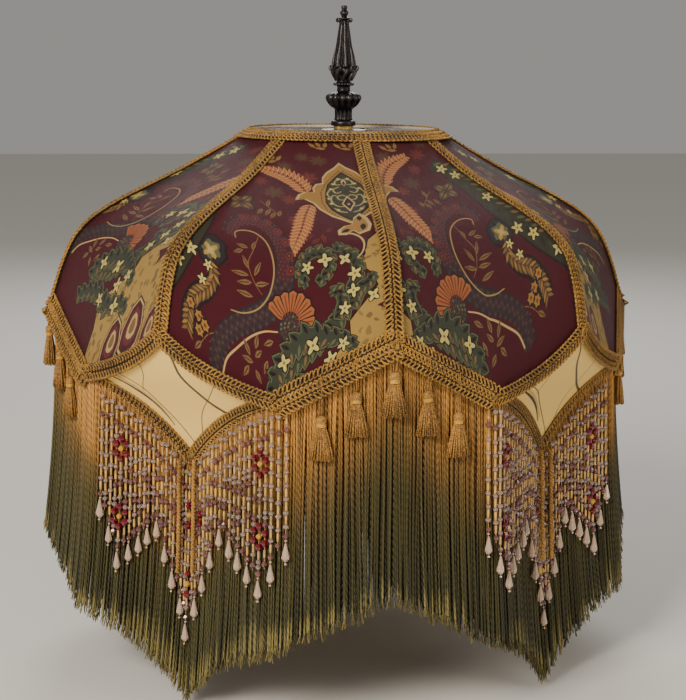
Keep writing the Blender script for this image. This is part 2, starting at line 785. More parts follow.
def draw_scrolls():
    """Green scrolls with cream flowers that chain down the seam and along the rim."""
    shapes = []
    chains = [
        (
            [
                (36, 139), (32, 145), (26, 149), (22, 156), (22, 166), (26, 176), (32, 186), (40, 194),
                (50, 200), (62, 204), (76, 208), (88, 214),
            ],
            5, 11, 12,
        ),
        ([(59, 168), (62, 158), (57, 147), (48, 144), (41, 149), (42, 160), (49, 166)], 4, 8, 4),
        ([(10, 168), (14, 174), (21, 178), (26, 186)], 3, 8, 6),
        ([(43, 176), (37, 174), (34, 181), (37, 190)], 3, 6, 5),
        ([(26, 214), (36, 205), (48, 200), (60, 196), (74, 200), (84, 207), (90, 218)], 5, 14, 8),
        ([(20, 230), (34, 224), (50, 226), (66, 222), (84, 226), (100, 236)], 6, 12, 8),
    ]
    for path, start, middle, end in chains:
        line = flat_path(path)
        count = int(len(path) * 1.7)
        lobes = []
        for i in range(count):
            t = (i + 0.5) / count
            here, ahead, across = walk(line, t, 0.02)
            width = np.interp(t, [0, 0.5, 1], [start, middle, end])
            lobes += [(here, across * side * width * 0.62 + ahead * 4.6) for side in (-1, 1)]
        for colour, grown in (("dark", 1.4), ("sage", 0.8), ("deep_green", 0)):
            shapes += stroke(colour, path, *(w * 0.62 + grown * 2 for w in (start, middle, end)))
            for here, reach in lobes:
                shapes.append((colour, leaf(here, here + reach * (1 + 0.16 * grown), 6.0 + 1.6 * grown)))
        for i, (here, reach) in enumerate(lobes):
            colour = ("dark", "sage", "dark", "sprig")[i % 4]
            shapes.append((colour, leaf(here + reach * 0.15, here + reach * 0.95, 2.1)))
    flowers = [
        (44, 152), (57, 155), (30, 154), (24, 166), (26, 177), (33, 187), (58, 202), (36, 208), (80, 205),
        (46, 214), (12, 184), (64, 224), (40, 226),
    ]
    for i, centre in enumerate(flowers):
        shapes += draw_flower(centre, 4.4 if i % 3 else 5.0, 0.4 * i, 5 if i % 2 else 4)
    return shapes


def draw_side_leaves():
    """The gold braided leaf, the grey flower and the dark leaves towards the kite's rib."""
    shapes = rings((129, 147), ("dark", 13, 7, 0.08), ("slate", 11, 7, 0.1), ("sage", 7, 5, 0.2))
    shapes += rings((130, 148), ("pale_gold", 5, 4, 0.45, 0.6), ("cream", 2.6, 4, 0.4, 0.6))
    spine = [(132, 156), (129, 165), (136, 174), (146, 180), (154, 190), (160, 204)]
    shapes += stroke("dark", spine, 8, 14, 12) + stroke("blurred_olive", spine, 6, 10, 8)
    path = flat_path(spine)
    for i in range(16):
        t = (i + 0.5) / 16
        here, ahead, across = walk(path, t, 0.02)
        for side in (-1, 1):
            barb = leaf(here - ahead, here + across * side * 5 + ahead * 4.5, 2.0)
            shapes.append((("gold", "sprig")[i % 2], barb))
    shapes += draw_flower((133, 159), 3.6, 0.2) + draw_flower((139, 169), 3.6, 0.9)
    shapes += draw_sprig(
        [(128, 196), (140, 200), (150, 208)],
        [
            ((128, 192), (133, 199)), ((138, 196), (148, 192)), ((142, 198), (153, 199)),
            ((140, 203), (134, 210)), ((148, 206), (156, 212)),
        ],
    )
    for x, y in ((146, 192), (152, 186), (142, 196), (148, 200)):
        shapes += rings((x, y), ("dark", 4.4, 6, 0.14), ("gold", 3.2, 6, 0.25), ("rust", 1.2, 0, 0, 0, 8))
    mass = [
        (100, 60), (113, 68), (122, 84), (131, 104), (140, 124), (152, 146), (166, 166), (186, 186),
        (206, 204),
    ]
    shapes += stroke("dark", mass, 15, 25, 22) + stroke("olive", mass, 13, 22, 19)
    path = flat_path(mass)
    for i in range(46):
        t = (i + 0.5) / 46
        here, ahead, across = walk(path, t, 0.02)
        across = across * (1 if i % 2 else -1)
        start = here + across * (0.5 + i % 3)
        colour = ("sage", "deep_green", "sprig", "slate")[i % 4]
        shapes.append((colour, leaf(start, start + across * (6.5 - i % 2) + ahead * 7, 3.2)))
    for i, centre in enumerate([(118, 76), (135, 110), (146, 150), (108, 66), (158, 160), (176, 180)]):
        shapes += draw_flower(centre, 5.5, 0.5 * i, 5)
    shapes += rings((101, 93), ("dark", 11, 4, 0.25, 0.78), ("blurred_olive", 9.6, 4, 0.3, 0.78))
    for a, b in ((1, 1), (-1, 1), (1, -1), (-1, -1)):
        shapes.append(("sprig", round_shape((101 + 4.5 * a, 93 + 4.5 * b), 3.1, points=9)))
    shapes += stroke("dark", [(94, 86), (101, 93), (108, 100)], 1)
    return shapes + stroke("dark", [(108, 86), (101, 93), (94, 100)], 1)


def draw_ground():
    """The mottled gold ground below, with notched edge and lotus petals."""
    edge = [
        (-70, 120), (-8, 126), (4, 134), (12, 141), (15, 153), (20, 160), (12, 168), (8, 178), (17, 186),
        (30, 196), (30, 206), (44, 214), (64, 222), (58, 240), (60, 276), (-70, 276),
    ]
    edge = np.array(edge, float)
    shapes = [("dark", edge + [1.2, -0.6]), ("ground", edge)]
    starts = chance.uniform((-66, 128), (60, 262), (420, 2))
    angles = chance.uniform(0, 2 * math.pi, len(starts))
    ends = starts + 5.5 * np.stack([np.cos(angles), np.sin(angles)], -1)
    held = inside(starts, edge) & inside(ends, edge)
    for number, (start, end) in enumerate(zip(starts[held], ends[held])):
        colour = ("ground_shade", "pale_gold", "ground_shade", "sprig")[number % 4]
        shapes.append((colour, leaf(start, end, 2.2 + number % 3)))
    petal = [(-6, 182), (2, 186), (0, 190), (10, 192), (2, 197), (0, 204), (-5, 197), (-12, 199), (-8, 191)]
    shapes.append(("petal_red", np.array(petal, float)))
    lotus = [(0, -1.1), (0.55, -0.75), (0.95, 0.1), (0.85, 0.85), (0.3, 1.15)]
    lotus = np.array(lotus + [(-x, y) for x, y in lotus[:0:-1]])
    for cx, cy, size in ((2, 240, 16), (27, 246, 13), (-26, 246, 13)):
        for colour, share in (
            ("dark", 1.0), ("cream", 0.93), ("petal_red", 0.84), ("scale", 0.6), ("cream", 0.42),
            ("sprig", 0.26),
        ):
            shapes.append((colour, lotus * size * share + [cx, cy]))
    return shapes


def draw_upper():
    """Ferns, blurred leaves and small gold scrolls on the burgundy near the ring."""
    shapes = []
    olive_leaves = [(35, 34, 6), (47, 29, 5), (62, 42, 5.5), (74, 78, 6.5), (78, 18, 6), (100, 30, 7)]
    rust_leaves = [(46, 57, 6.5), (63, 87, 5), (83, 62, 5), (62, 111, 4), (92, 44, 6), (66, 14, 5)]
    for colour, places in (("blurred_olive", olive_leaves), ("blurred_rust", rust_leaves)):
        for x, y, r in places:
            edge, heart = (r * 1.2, 7, 0.2, x, 28), (r * 0.86, 7, 0.4, x, 28)
            shapes += rings((x, y), ("blurred_edge", *edge), (colour, *heart))
    shapes += draw_fern([(49, 78), (54, 65), (64, 53), (80, 45)], 9, 13)
    shapes += draw_fern([(48, 93), (53, 106), (58, 122), (67, 142)], 7.5, 15)
    shapes += draw_sprig(
        [(74, 106), (80, 98), (86, 90)],
        [
            ((74, 108), (71, 101)), ((79, 100), (84, 108)), ((81, 97), (79, 88)), ((85, 100), (90, 107)),
            ((76, 104), (80, 111)),
        ],
    )
    shapes += draw_sprig(
        [(42, 128), (48, 136)],
        [((40, 127), (36, 124)), ((46, 133), (52, 137)), ((43, 130), (42, 138)), ((50, 128), (56, 132))],
        "blurred_rust",
    )
    for x, y, side in ((14, 13, 1), (33, 12, 1), (-6, 13, -1), (70, 30, -1)):
        leaves = [
            ((x - 6 * side, y + 6), (x + 3 * side, y + 4)),
            ((x - 5 * side, y + 4), (x - 7 * side, y - 4)),
            ((x + 2 * side, y + 4), (x + 7 * side, y - 3)),
            ((x - 2 * side, y + 3), (x + 1 * side, y - 4)),
        ]
        for colour, width in (("dark", 4.6), ("gold", 3.4), ("sprig", 1.0)):
            shapes += [(colour, leaf(base, point, width)) for base, point in leaves]
    return shapes


def printed_cloth():
    shapes = draw_ground() + draw_upper() + draw_side_leaves() + draw_paisley() + draw_lower_drop()
    return shapes + draw_scrolls() + draw_medallion() + draw_bird_scroll()


cloth_print = printed_cloth()
print("the print has", len(cloth_print), "shapes and", sum(len(s) for _, s in cloth_print), "points")

# %% [markdown]
# ## Silk
# The printed cloth is a slubby silk: fine threads cross each other, and now and then
# a thicker thread runs across. Two wave patterns on the flat cloth's own map give the
# weave, stretched noise gives the slubs, and a broad noise fades the dye a little.

# %% Woven silk finishes


def silk(name, sheen, roughness=0.52, slub=0.12):
    """Woven silk in the colours that the cloth's own attribute holds."""
    made, tree, shader = material(
        name, Roughness=roughness, Specular_IOR_Level=0.25, Sheen_Weight=sheen, Sheen_Roughness=0.45
    )
    thread_count = 260.0
    cloth = tree.node("ShaderNodeUVMap", {"uv_map": "cloth"})["UV"]
    colour = tree.node("ShaderNodeAttribute", {"attribute_name": "print"})["Color"]
    lengthwise = tree.node("ShaderNodeMapping", None, {"Vector": cloth, "Scale": (9, 150, 1)})["Vector"]
    crosswise = tree.node("ShaderNodeMapping", None, {"Vector": cloth, "Scale": (150, 9, 1)})["Vector"]
    slubs, warp = noise(lengthwise, 1.0), noise(crosswise, 1.0)
    faded, mottled = noise(cloth, 7.0, 3.0), noise(cloth, 90.0)
    light = 1 + (slubs - 0.5) * slub * 3 + (warp - 0.5) * slub * 2
    light = light + (faded - 0.5) * 0.3 + (mottled - 0.5) * 0.34
    weave = bands(cloth, "X", thread_count, 1.5) * 0.4 + bands(cloth, "Y", thread_count, 1.5) * 0.4
    relief = bumps(weave + slubs * 1.4 + faded * 0.8, 0.5, 0.0006)
    feed(shader, Base_Color=scaled(colour, light), Roughness=roughness + (slubs - 0.5) * 0.3, Normal=relief)
    return made


printed_silk = silk("printed_silk", 0.03)
cream_silk = silk("cream_silk", 0.08, 0.42, 0.08)
lining_silk = silk("lining_silk", 0.15, 0.6, 0.05)

# %% [markdown]
# ## The printed panels
# Each panel runs from the ring to the rim between two ribs. Real panels are cut,
# stretched over the wires and stitched down, so each one here is flat cloth first:
# its outline is measured on the dome, the print is laid over it, and then it is bent
# into place. Neighbouring panels take the print at another place or in mirror image.

# %% The panel's flat outline and how it bends
panel_length = 220.0
rows = np.linspace(0, 1, 45)
columns = np.linspace(0, 1, 90)
spread = panel_point(columns[None, :], rows[:, None])
row_widths = np.linalg.norm(np.diff(spread, axis=1), axis=2).sum(1) / MM
seam = 0.6


def width_at(down):
    return np.interp(down / panel_length, rows, row_widths)


down_edge = np.linspace(seam, panel_length - seam, 40)
right_edge = np.stack([width_at(down_edge) - seam, down_edge], -1)
bottom = np.stack(
    [np.linspace(width_at(panel_length - seam) - 6, seam, 40), np.full(40, panel_length - seam)], -1
)
left_edge = np.stack([np.full(30, seam), np.linspace(panel_length - 6, seam, 30)], -1)
top_edge = np.stack([np.linspace(6, width_at(seam) - 6, 12), np.full(12, seam)], -1)
panel_outline = np.vstack([right_edge, bottom, left_edge, top_edge])


def bend_panel(flat):
    down = np.clip(flat[:, 1] / panel_length, 0, 1)
    across = np.clip(flat[:, 0] / width_at(flat[:, 1]), 0, 1)
    face = outwards(panel_point, across, down)
    middle = panel_point(across, down)
    return middle + face * cover_outer, middle + face * cover_inner


# %% Where each panel is cut from the print


def laid_at(turn, shift, stretch=1.0, mirror=None):
    """Moves the print under the panel: mirrored about a line, turned, shifted and stretched."""
    c, s = math.cos(math.radians(turn)), math.sin(math.radians(turn))

    def place(outline):
        drawn = np.asarray(outline, float)
        if mirror is not None:
            drawn = drawn * [-1, 1] + [mirror, 0]
        x = drawn[:, 0] * c + drawn[:, 1] * s + shift[0]
        y = (-drawn[:, 0] * s + drawn[:, 1] * c) * stretch + shift[1]
        return np.stack([x, y], -1)

    return place


cuts = {
    "front": laid_at(0, (0, 0)),
    "turned": laid_at(11, (-54, -3), 1.1),
    "mirrored": laid_at(0, (0, -40), 1.0, 140),
    "beyond": laid_at(4, (-4, -34), 1.0, 150),
}
panel_cuts = ["beyond", "front", "mirrored", "turned", "beyond", "mirrored", "front", "turned"]


def bend_to(number):
    """Panel number, counted round from the first peak, two to a quarter."""
    quarter, after_peak = divmod(number - 1, 2)

    def bend(flat):
        outer, inner = bend_panel(flat)
        if not after_peak:
            outer, inner = over_peak(outer), over_peak(inner)
        return turned(outer, quarter), turned(inner, quarter)

    return bend


# %% Cut, bend and paint the eight panels
panels = []
cut_pieces = {}
for cut_name in sorted(set(panel_cuts)):
    placed = [(colour, cuts[cut_name](outline)) for colour, outline in cloth_print]
    palette = [ink["burgundy"]] + [ink[colour] for colour, _ in placed]
    cut_pieces[cut_name] = (*cut_cloth(panel_outline, placed, 4.0), palette)
for number, cut_name in enumerate(panel_cuts, 1):
    flat, triangles, top, palette = cut_pieces[cut_name]
    panel = sheet_from(f"panel_cloth_{number}", flat, triangles, top, bend_to(number), palette, printed_silk)
    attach(panel, "shade")
    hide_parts(f"printed_panel_{number}")
    panels.append(panel)
print("panel 7 has", len(panels[6].data.polygons), "faces over", round(area_of(panels[6]), 4), "m2")

# %% [markdown]
# ## The cream kites
# The four lobes are plain cream silk with a thin brown vine printed on it: one thick
# stem from the top down to a lower side, fine tendrils across it, and a dark double
# line near one edge. A kite is a patch between four bent wires, so its flat cloth is
# taken as a square whose sides become those wires.

# %% Cut and bend the kites
kite_side_length = 96.0
kite_outline = np.array([(1, 1), (50, 1), (95, 1), (95, 50), (95, 95), (50, 95), (1, 95), (1, 50)], float)
ink["cream_ground"] = paint(250, 208, 114)
ink["vine"] = paint(92, 70, 38)
ink["dark_vine"] = paint(54, 40, 22)
ink["pale_vine"] = paint(206, 168, 100)


def draw_vine():
    stem = [(-4, 5), (9, 6), (18, 10), (34, 22), (56, 32), (76, 39), (99, 42)]
    shapes = stroke("vine", stem, 0.8, 2.2, 2.8)
    shapes += stroke("vine", [(48, -3), (58, 14), (68, 34), (78, 56), (90, 72), (98, 82)], 0.6, 0.7, 0.8)
    shapes += stroke("vine", [(-3, 34), (9, 40), (19, 50), (28, 64), (34, 72)], 0.7, 0.7, 0.5)
    shapes += stroke("dark_vine", [(-2, 66), (14, 67), (32, 69), (48, 75), (66, 80), (98, 86)], 1.0, 1.0, 0.8)
    shapes += stroke("pale_vine", [(-2, 71), (16, 73), (34, 75), (52, 79), (70, 84)], 3.2, 3.0, 1.0)
    return shapes + stroke("dark_vine", [(-2, 78), (14, 77), (34, 78), (52, 81), (72, 87)], 1.6, 3.0, 1.0)


def bend_kite_to(quarter):
    def bend(flat):
        t, s = flat[:, 0] / kite_side_length, flat[:, 1] / kite_side_length
        face = outwards(kite_point, s, t)
        middle = kite_point(s, t)
        bulge = (1.5 * MM * np.sin(math.pi * s) * np.sin(math.pi * t))[:, None]
        outer = middle + face * (cover_outer + bulge)
        return turned(outer, quarter), turned(outer - face * (cover_outer - cover_inner), quarter)

    return bend


vine = draw_vine()
kite_flat, kite_triangles, kite_top_shape = cut_cloth(kite_outline, vine, 4.0)
kite_palette = [ink["cream_ground"]] + [ink[colour] for colour, _ in vine]
kites = []
for quarter in range(4):
    kite = sheet_from(
        f"kite_cloth_{quarter + 1}", kite_flat, kite_triangles, kite_top_shape, bend_kite_to(quarter),
        kite_palette, cream_silk,
    )
    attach(kite, "shade")
    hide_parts(f"cream_kite_{quarter + 1}")
    kites.append(kite)
print("a kite is", round(area_of(kites[0]), 4), "square metres")

# %% [markdown]
# ## The lining
# Inside, the wires are hidden by a pale silk lining that is gathered at the ring and
# sewn to the rim. It follows the dome a few millimetres inside the cover. Its soft
# pleats fade from the ring, where the cloth is gathered, to nothing at the rim.

# %% A gathered lining in one closed sheet
lining_depth = 3.0 * MM
ring_rows = 26


def lining_ring(v):
    """Points right round the dome at one row, through every panel and kite."""
    made = []
    for eighth in range(8):
        quarter, after = divmod(eighth, 2)
        share = np.linspace(0, 1, 40, endpoint=False)
        u = share if not after else 1 - share
        base = panel_point(u, np.full(40, min(v, 1)))
        face = outwards(panel_point, u, np.full(40, min(v, 1)))
        if v > 1:
            s = np.clip((u - corner_share) / (1 - corner_share), 0, 1)
            low = lower_side(1 - s)
            base = base + (low - base) * np.where(u > corner_share, v - 1, 0)[:, None]
        pleat = 0.9 * MM * (1 - min(v, 1)) ** 0.6 * np.cos(share * 2 * math.pi * 12)
        inner = base - face * (lining_depth + pleat)[:, None]
        made.append(turned(over_kite(inner) if after else inner, quarter))
    return np.vstack(made)


lining_levels = list(np.linspace(0.02, 0.99, ring_rows)) + [1.25, 1.5, 1.75, 1.97]
around = 8 * 40
lining_points = np.vstack([lining_ring(v) for v in lining_levels])
inward = lining_points - unit(lining_points - [0, 0, -0.12]) * MM
lining_faces = []
levels = len(lining_levels)
for row in range(levels - 1):
    for i in range(around):
        a, b = row * around + i, row * around + (i + 1) % around
        lining_faces.append((a, a + around, b + around, b))
shell = levels * around
lining_faces += [tuple(i + shell for i in face[::-1]) for face in lining_faces]
for row in (0, levels - 1):
    for i in range(around):
        a, b = row * around + i, row * around + (i + 1) % around
        wall = (a, b, b + shell, a + shell)
        lining_faces.append(wall if row == 0 else wall[::-1])
lining = new_mesh("gathered_lining", np.vstack([lining_points, inward]), lining_faces, [lining_silk])
flat_places = np.stack(
    [(np.arange(2 * shell) % around) * 4.4, (np.arange(2 * shell) % shell) // around * 8.5], -1
)
lining_dye = np.tile(paint(226, 205, 168), (len(lining.data.loops), 1))
paint_cloth(lining, lining_dye, flat_places)
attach(lining, "shade")
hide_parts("lining")
print("the lining is", round(area_of(lining), 4), "square metres")

# %% [markdown]
# ## Recipes that repeat
# Braid, fringe and beads are thousands of small alike pieces. A Geometry Nodes
# recipe lays one stitch along a path, or one bead on every point, and its result is
# turned into a plain mesh. The path or the points carry which way they face.

# %% A Geometry Nodes recipe and how it is used


def recipe(name, inputs):
    """A node group with a geometry in, these named inputs and a geometry out."""
    group = bpy.data.node_groups.new(name, "GeometryNodeTree")
    group.interface.new_socket("Geometry", in_out="INPUT", socket_type="NodeSocketGeometry")
    sockets = {
        label: group.interface.new_socket(label, in_out="INPUT", socket_type="NodeSocket" + kind).identifier
        for label, kind in inputs.items()
    }
    group.interface.new_socket("Geometry", in_out="OUTPUT", socket_type="NodeSocketGeometry")
    tree = Tree(group)
    return group, tree, tree.node("NodeGroupInput"), sockets


def close_recipe(tree, geometry, finish):
    """Ends a recipe: real geometry with its material."""
    real = tree.node("GeometryNodeRealizeInstances", None, {"Geometry": geometry})["Geometry"]
    done = tree.node("GeometryNodeSetMaterial", None, {"Geometry": real, "Material": finish})["Geometry"]
    tree.node("NodeGroupOutput", None, {"Geometry": done})


def seed_mesh(name, points, lines=(), **vectors):
    """Points, joined in lines where wanted, that carry a vector or a number each."""
    mesh = bpy.data.meshes.new(name)
    mesh.from_pydata([tuple(p) for p in points], [tuple(e) for e in lines], [])
    for label, values in vectors.items():
        values = np.asarray(values, np.float32)
        kind, field = ("FLOAT_VECTOR", "vector") if values.ndim == 2 else ("FLOAT", "value")
        mesh.attributes.new(label, kind, "POINT").data.foreach_set(field, values.ravel())
    made = bpy.data.objects.new(name, mesh)
    bpy.context.scene.collection.objects.link(made)
    return made


def grow(name, seed, made_recipe, values, rounded=True):
    """Runs a recipe on a seed and keeps its result as a plain mesh."""
    group, _, _, sockets = made_recipe
    modifier = seed.modifiers.new("recipe", "NODES")
    modifier.node_group = group
    for label, value in values.items():
        modifier[sockets[label]] = value
    view = bpy.context.evaluated_depsgraph_get()
    mesh = bpy.data.meshes.new_from_object(
        seed.evaluated_get(view), preserve_all_data_layers=True, depsgraph=view
    )
    seed.modifiers.remove(modifier)
    bpy.data.objects.remove(seed)
    mesh.name = name
    made = bpy.data.objects.new(name, mesh)
    bpy.context.scene.collection.objects.link(made)
    if rounded:
        mesh.shade_smooth()
    else:
        mesh.shade_flat()
    return made


def facing_rotation(tree):
    """Turns a copy's X along its path and its Z away from the surface."""
    along, facing = carried(tree, "along", "FLOAT_VECTOR"), carried(tree, "facing", "FLOAT_VECTOR")
    first = tree.node("FunctionNodeAlignRotationToVector", {"axis": "X"}, {"Vector": along})["Rotation"]
    settings, inputs = {"axis": "Z", "pivot_axis": "X"}, {"Rotation": first, "Vector": facing}
    return tree.node("FunctionNodeAlignRotationToVector", settings, inputs)["Rotation"]


strew = recipe("strew_copies", {"Copy": "Object", "Size": "Float", "Finish": "Material"})
_, strew_tree, strew_in, _ = strew
copy_info = strew_tree.node("GeometryNodeObjectInfo", None, {"Object": strew_in["Copy"]})["Geometry"]
spread = {
    "Points": strew_in["Geometry"], "Instance": copy_info, "Rotation": facing_rotation(strew_tree),
    "Scale": carried(strew_tree, "size") * strew_in["Size"],
}
on_points = strew_tree.node("GeometryNodeInstanceOnPoints", None, spread)["Instances"]
close_recipe(strew_tree, on_points, strew_in["Finish"])

# %% A round cord along points, as a plain mesh


def tube(path, radius, sides=6, closed=False):
    """Points and faces of a cord along a path; radius may differ along it."""
    path = np.asarray(path, float)
    radius = np.broadcast_to(radius, len(path))
    ahead = np.gradient(path, axis=0) if not closed else np.roll(path, -1, 0) - np.roll(path, 1, 0)
    ahead /= np.linalg.norm(ahead, axis=1, keepdims=True)
    side = np.cross(ahead[0], (0.3, 0.2, 1.0))
    points = []
    for place, direction, r in zip(path, ahead, radius):
        side = side - direction * side.dot(direction)
        side /= np.linalg.norm(side)
        other = np.cross(direction, side)
        for k in range(sides):
            angle = 2 * math.pi * k / sides
            points.append(place + (side * math.cos(angle) + other * math.sin(angle)) * r)
    faces = []
    rings = len(path)
    for i in range(rings if closed else rings - 1):
        for k in range(sides):
            a, b = i * sides + k, i * sides + (k + 1) % sides
            j = (i + 1) % rings * sides
            faces.append((a, b, j + (k + 1) % sides, j + k))
    if not closed:
        faces += [tuple(range(sides))[::-1], tuple((rings - 1) * sides + k for k in range(sides))]
    return points, faces


def several(parts):
    """Joins lists of points and faces."""
    points, faces = [], []
    for more_points, more_faces in parts:
        faces += [tuple(i + len(points) for i in face) for face in more_faces]
        points += list(more_points)
    return points, faces

# %% [markdown]
# ## Gimp braid
# Gimp is a flat braid of stiff rayon loops. Two rows of slanted, hooked loops lean
# away from a dark centre line, like a herringbone. One pair of loops is modelled flat,
# and once more falling away at its ends to sit over a rib. A recipe lays it along the
# ribs, round the ring, over the kites and along the rim, on a thin dark tape. The rim
# has a second row along the arches, and three plain cords below each kite.

# %% The braid's finishes


def rayon(name, deep, bright, roughness=0.42):
    """Shiny rayon thread: bright on the crowns of the threads and dark between them."""
    made, tree, shader = material(name, Roughness=roughness, Sheen_Weight=0.04, Specular_IOR_Level=0.4)
    place = tree.node("ShaderNodeTexCoord")["Object"]
    broad, fine = noise(place, 24.0), noise(place, 900.0)
    share = broad.step(0.25, 0.75) * 0.35 + fine.step(0.32, 0.72) * 0.7
    relief = bumps(bands(place, "DIAGONAL", 420.0, 2.0) + fine, 0.5, 0.0004)
    feed(shader, Base_Color=tree.mix(share, deep, bright), Roughness=roughness + fine * 0.2, Normal=relief)
    return made


gold_rayon = rayon("gold_rayon", paint(50, 32, 10), paint(196, 144, 56))
pale_binding = rayon("pale_binding", paint(150, 140, 132), paint(206, 198, 188), 0.6)
header_gold = rayon("header_gold", paint(112, 76, 28), paint(202, 150, 68), 0.45)
tape_brown = rayon("tape_brown", paint(16, 9, 3), paint(40, 24, 8), 0.8)

# %% One pair of hooked loops
stitch_pitch = 3.5 * MM


def hooked_loop(side):
    """A flat loop that leans away from the centre line, with a hook at its outer end."""
    turn = np.linspace(0, 2 * math.pi, 11)[:-1]
    reach, width = 3.4 * MM, 1.35 * MM
    along = np.cos(turn) * reach
    across = np.sin(turn) * width
    lean = math.radians(52)
    x = along * math.cos(lean) - across * math.sin(lean)
    y = along * math.sin(lean) + across * math.cos(lean)
    height = (1.0 + 0.55 * np.cos(turn * 2) + 0.35 * np.sin(turn)) * MM
    return np.stack([x + (0.5 * side) * MM, side * (y + 3.7 * MM), height], -1)


ridge_fall = 0.16


def stitch_shape(name, fall):
    """A pair of loops whose outer ends fall away by this slope, to sit over a ridge."""
    points, faces = several([tube(hooked_loop(side), 0.76 * MM, 4, True) for side in (-1, 1)])
    return new_mesh(name, [p - [0, 0, abs(p[1]) * fall] for p in points], faces, [])


flat_stitch, ridge_stitch = stitch_shape("flat_stitch", 0.0), stitch_shape("ridge_stitch", ridge_fall)

# %% Where the braid runs


def path_frames(points):
    """The direction along a path at each of its points."""
    return unit(np.gradient(points, axis=0))


steps = 220
down = np.linspace(0.0, 1.0, steps)
peak_facing = unit(outwards(panel_point, np.zeros(steps), down) * [1, 0, 1])
kite_facing = outwards(panel_point, np.ones(steps), down)
kite_facing = unit(kite_facing + over_kite(kite_facing))


def braid_run(line, facing, lift=braid_lift):
    """Points on a braid's middle, lifted off the wires, and the way it faces."""
    return line + facing * lift, facing


runs = {}
for quarter in range(4):
    line, facing = braid_run(peak_rib(down), peak_facing)
    runs[f"peak_rib_braid_{quarter + 1}"] = [(turned(line, quarter), turned(facing, quarter))]
    line, facing = braid_run(kite_rib(down), kite_facing)
    runs[f"kite_rib_braid_{quarter + 1}"] = [(turned(line, quarter), turned(facing, quarter))]
circle = np.linspace(0, 2 * math.pi, 481)
ring_slope = peak_facing[4]
ring_line = polar(ring_radius + 4.2 * MM, circle, -ring_depth + 1.7 * MM)
ring_facing = polar(ring_slope[0], circle, ring_slope[2])
runs["ring_braid"] = [(ring_line, ring_facing)]

edge = np.linspace(0, 1, 110)
upper_line = upper_side(edge)
upper_face = unit(
    outwards(kite_point, edge, np.full(110, 0.04))
    + outwards(panel_point, 1 - edge * (1 - corner_share), np.full(110, 0.97))
)
for quarter in range(4):
    both = []
    for flip in (False, True):
        line, facing = braid_run(upper_line, upper_face, braid_lift + 0.6 * MM)
        if flip:
            line, facing = over_kite(line), over_kite(facing)
        both.append((turned(line, quarter), turned(facing, quarter)))
    runs[f"kite_edge_braid_{quarter + 1}"] = both


def rim_eighth():
    """The rim from a kite's tip over its corner to the peak, with the way it faces."""
    share = np.linspace(0, 1, 100)
    side = lower_side(share)
    side_facing = outwards(kite_point, np.ones(100), np.clip(1 - share, 0.02, 0.98))
    straight = arch(1 - share)
    straight_facing = outwards(panel_point, corner_share * (1 - share), np.full(100, 0.97))
    line = np.vstack([side, straight[1:]])
    facing = np.vstack([side_facing, straight_facing[1:]])
    blend = np.ones(9) / 9
    padded_facing = np.vstack([facing[:1]] * 4 + [facing] + [facing[-1:]] * 4)
    facing = np.stack([np.convolve(padded_facing[:, k], blend, "valid") for k in range(3)], -1)
    return line, unit(facing)


rim_runs, header_runs = [], []
line, facing = rim_eighth()
to_corner = 100
for quarter in range(4):
    for flip in (False, True):
        side = -1 if flip else 1
        points = over_peak(line) if flip else line
        faces = over_peak(facing) if flip else facing
        across = unit(np.cross(faces, path_frames(points))) * side

        def row(aside, lift=braid_lift):
            return turned(points + faces * lift + across * (aside - rim_braid_inset), quarter)

        turned_faces = turned(faces, quarter)
        rim_runs.append((row(3.4 * MM), turned_faces))
        rim_runs.append((row(10.4 * MM)[to_corner - 8 :], turned_faces[to_corner - 8 :]))
        header_runs += [row(aside, 3.6 * MM)[: to_corner - 4] for aside in (8.0 * MM, 9.9 * MM, 11.8 * MM)]
runs["rim_braid"] = rim_runs
print(len(runs), "braids with", sum(len(r) for r in runs.values()), "runs")

# %% Lay the loops and the tape
lay_along = recipe("lay_along_path", {"Stitch": "Object", "Pitch": "Float", "Finish": "Material"})
_, lay_tree, lay_in, _ = lay_along
as_curve = lay_tree.node("GeometryNodeMeshToCurve", None, {"Mesh": lay_in["Geometry"]})["Curve"]
spacing = {"Curve": as_curve, "Length": lay_in["Pitch"]}
even = lay_tree.node("GeometryNodeResampleCurve", {"mode": "LENGTH"}, spacing)["Curve"]
one_stitch = lay_tree.node("GeometryNodeObjectInfo", None, {"Object": lay_in["Stitch"]})["Geometry"]
laying = {"Points": even, "Instance": one_stitch, "Rotation": facing_rotation(lay_tree)}
laid = lay_tree.node("GeometryNodeInstanceOnPoints", None, laying)["Instances"]
close_recipe(lay_tree, laid, lay_in["Finish"])


def tape(line, facing, width, ridge, thickness=0.9 * MM):
    """A thin tape under the loops, flat, or folded over a ridge that sharpens towards the rim."""
    across = unit(np.cross(facing, path_frames(line))) * width / 2
    fold = np.interp(np.linspace(0, 1, len(line)), [0, 0.45, 0.8], [0.12, 0.2, 0.4]) * ridge
    edge = facing * width / 2 * fold[:, None]
    under = [line - across - edge, line, line + across - edge]
    over = [row + facing * thickness for row in under]
    rows = under + over[::-1]
    n, wide = len(line), len(rows)
    faces = [
        (k * n + i, (k + 1) % wide * n + i, (k + 1) % wide * n + i + 1, k * n + i + 1)
        for k in range(wide)
        for i in range(n - 1)
    ]
    start_cap = tuple(k * n for k in range(wide))
    end_cap = tuple((k + 1) * n - 1 for k in range(wide))
    return np.vstack(rows), faces + [start_cap[::-1], end_cap]


def thinned(line, facing, every=3):
    keep = sorted(set(range(0, len(line), every)) | {len(line) - 1})
    return line[keep], facing[keep]


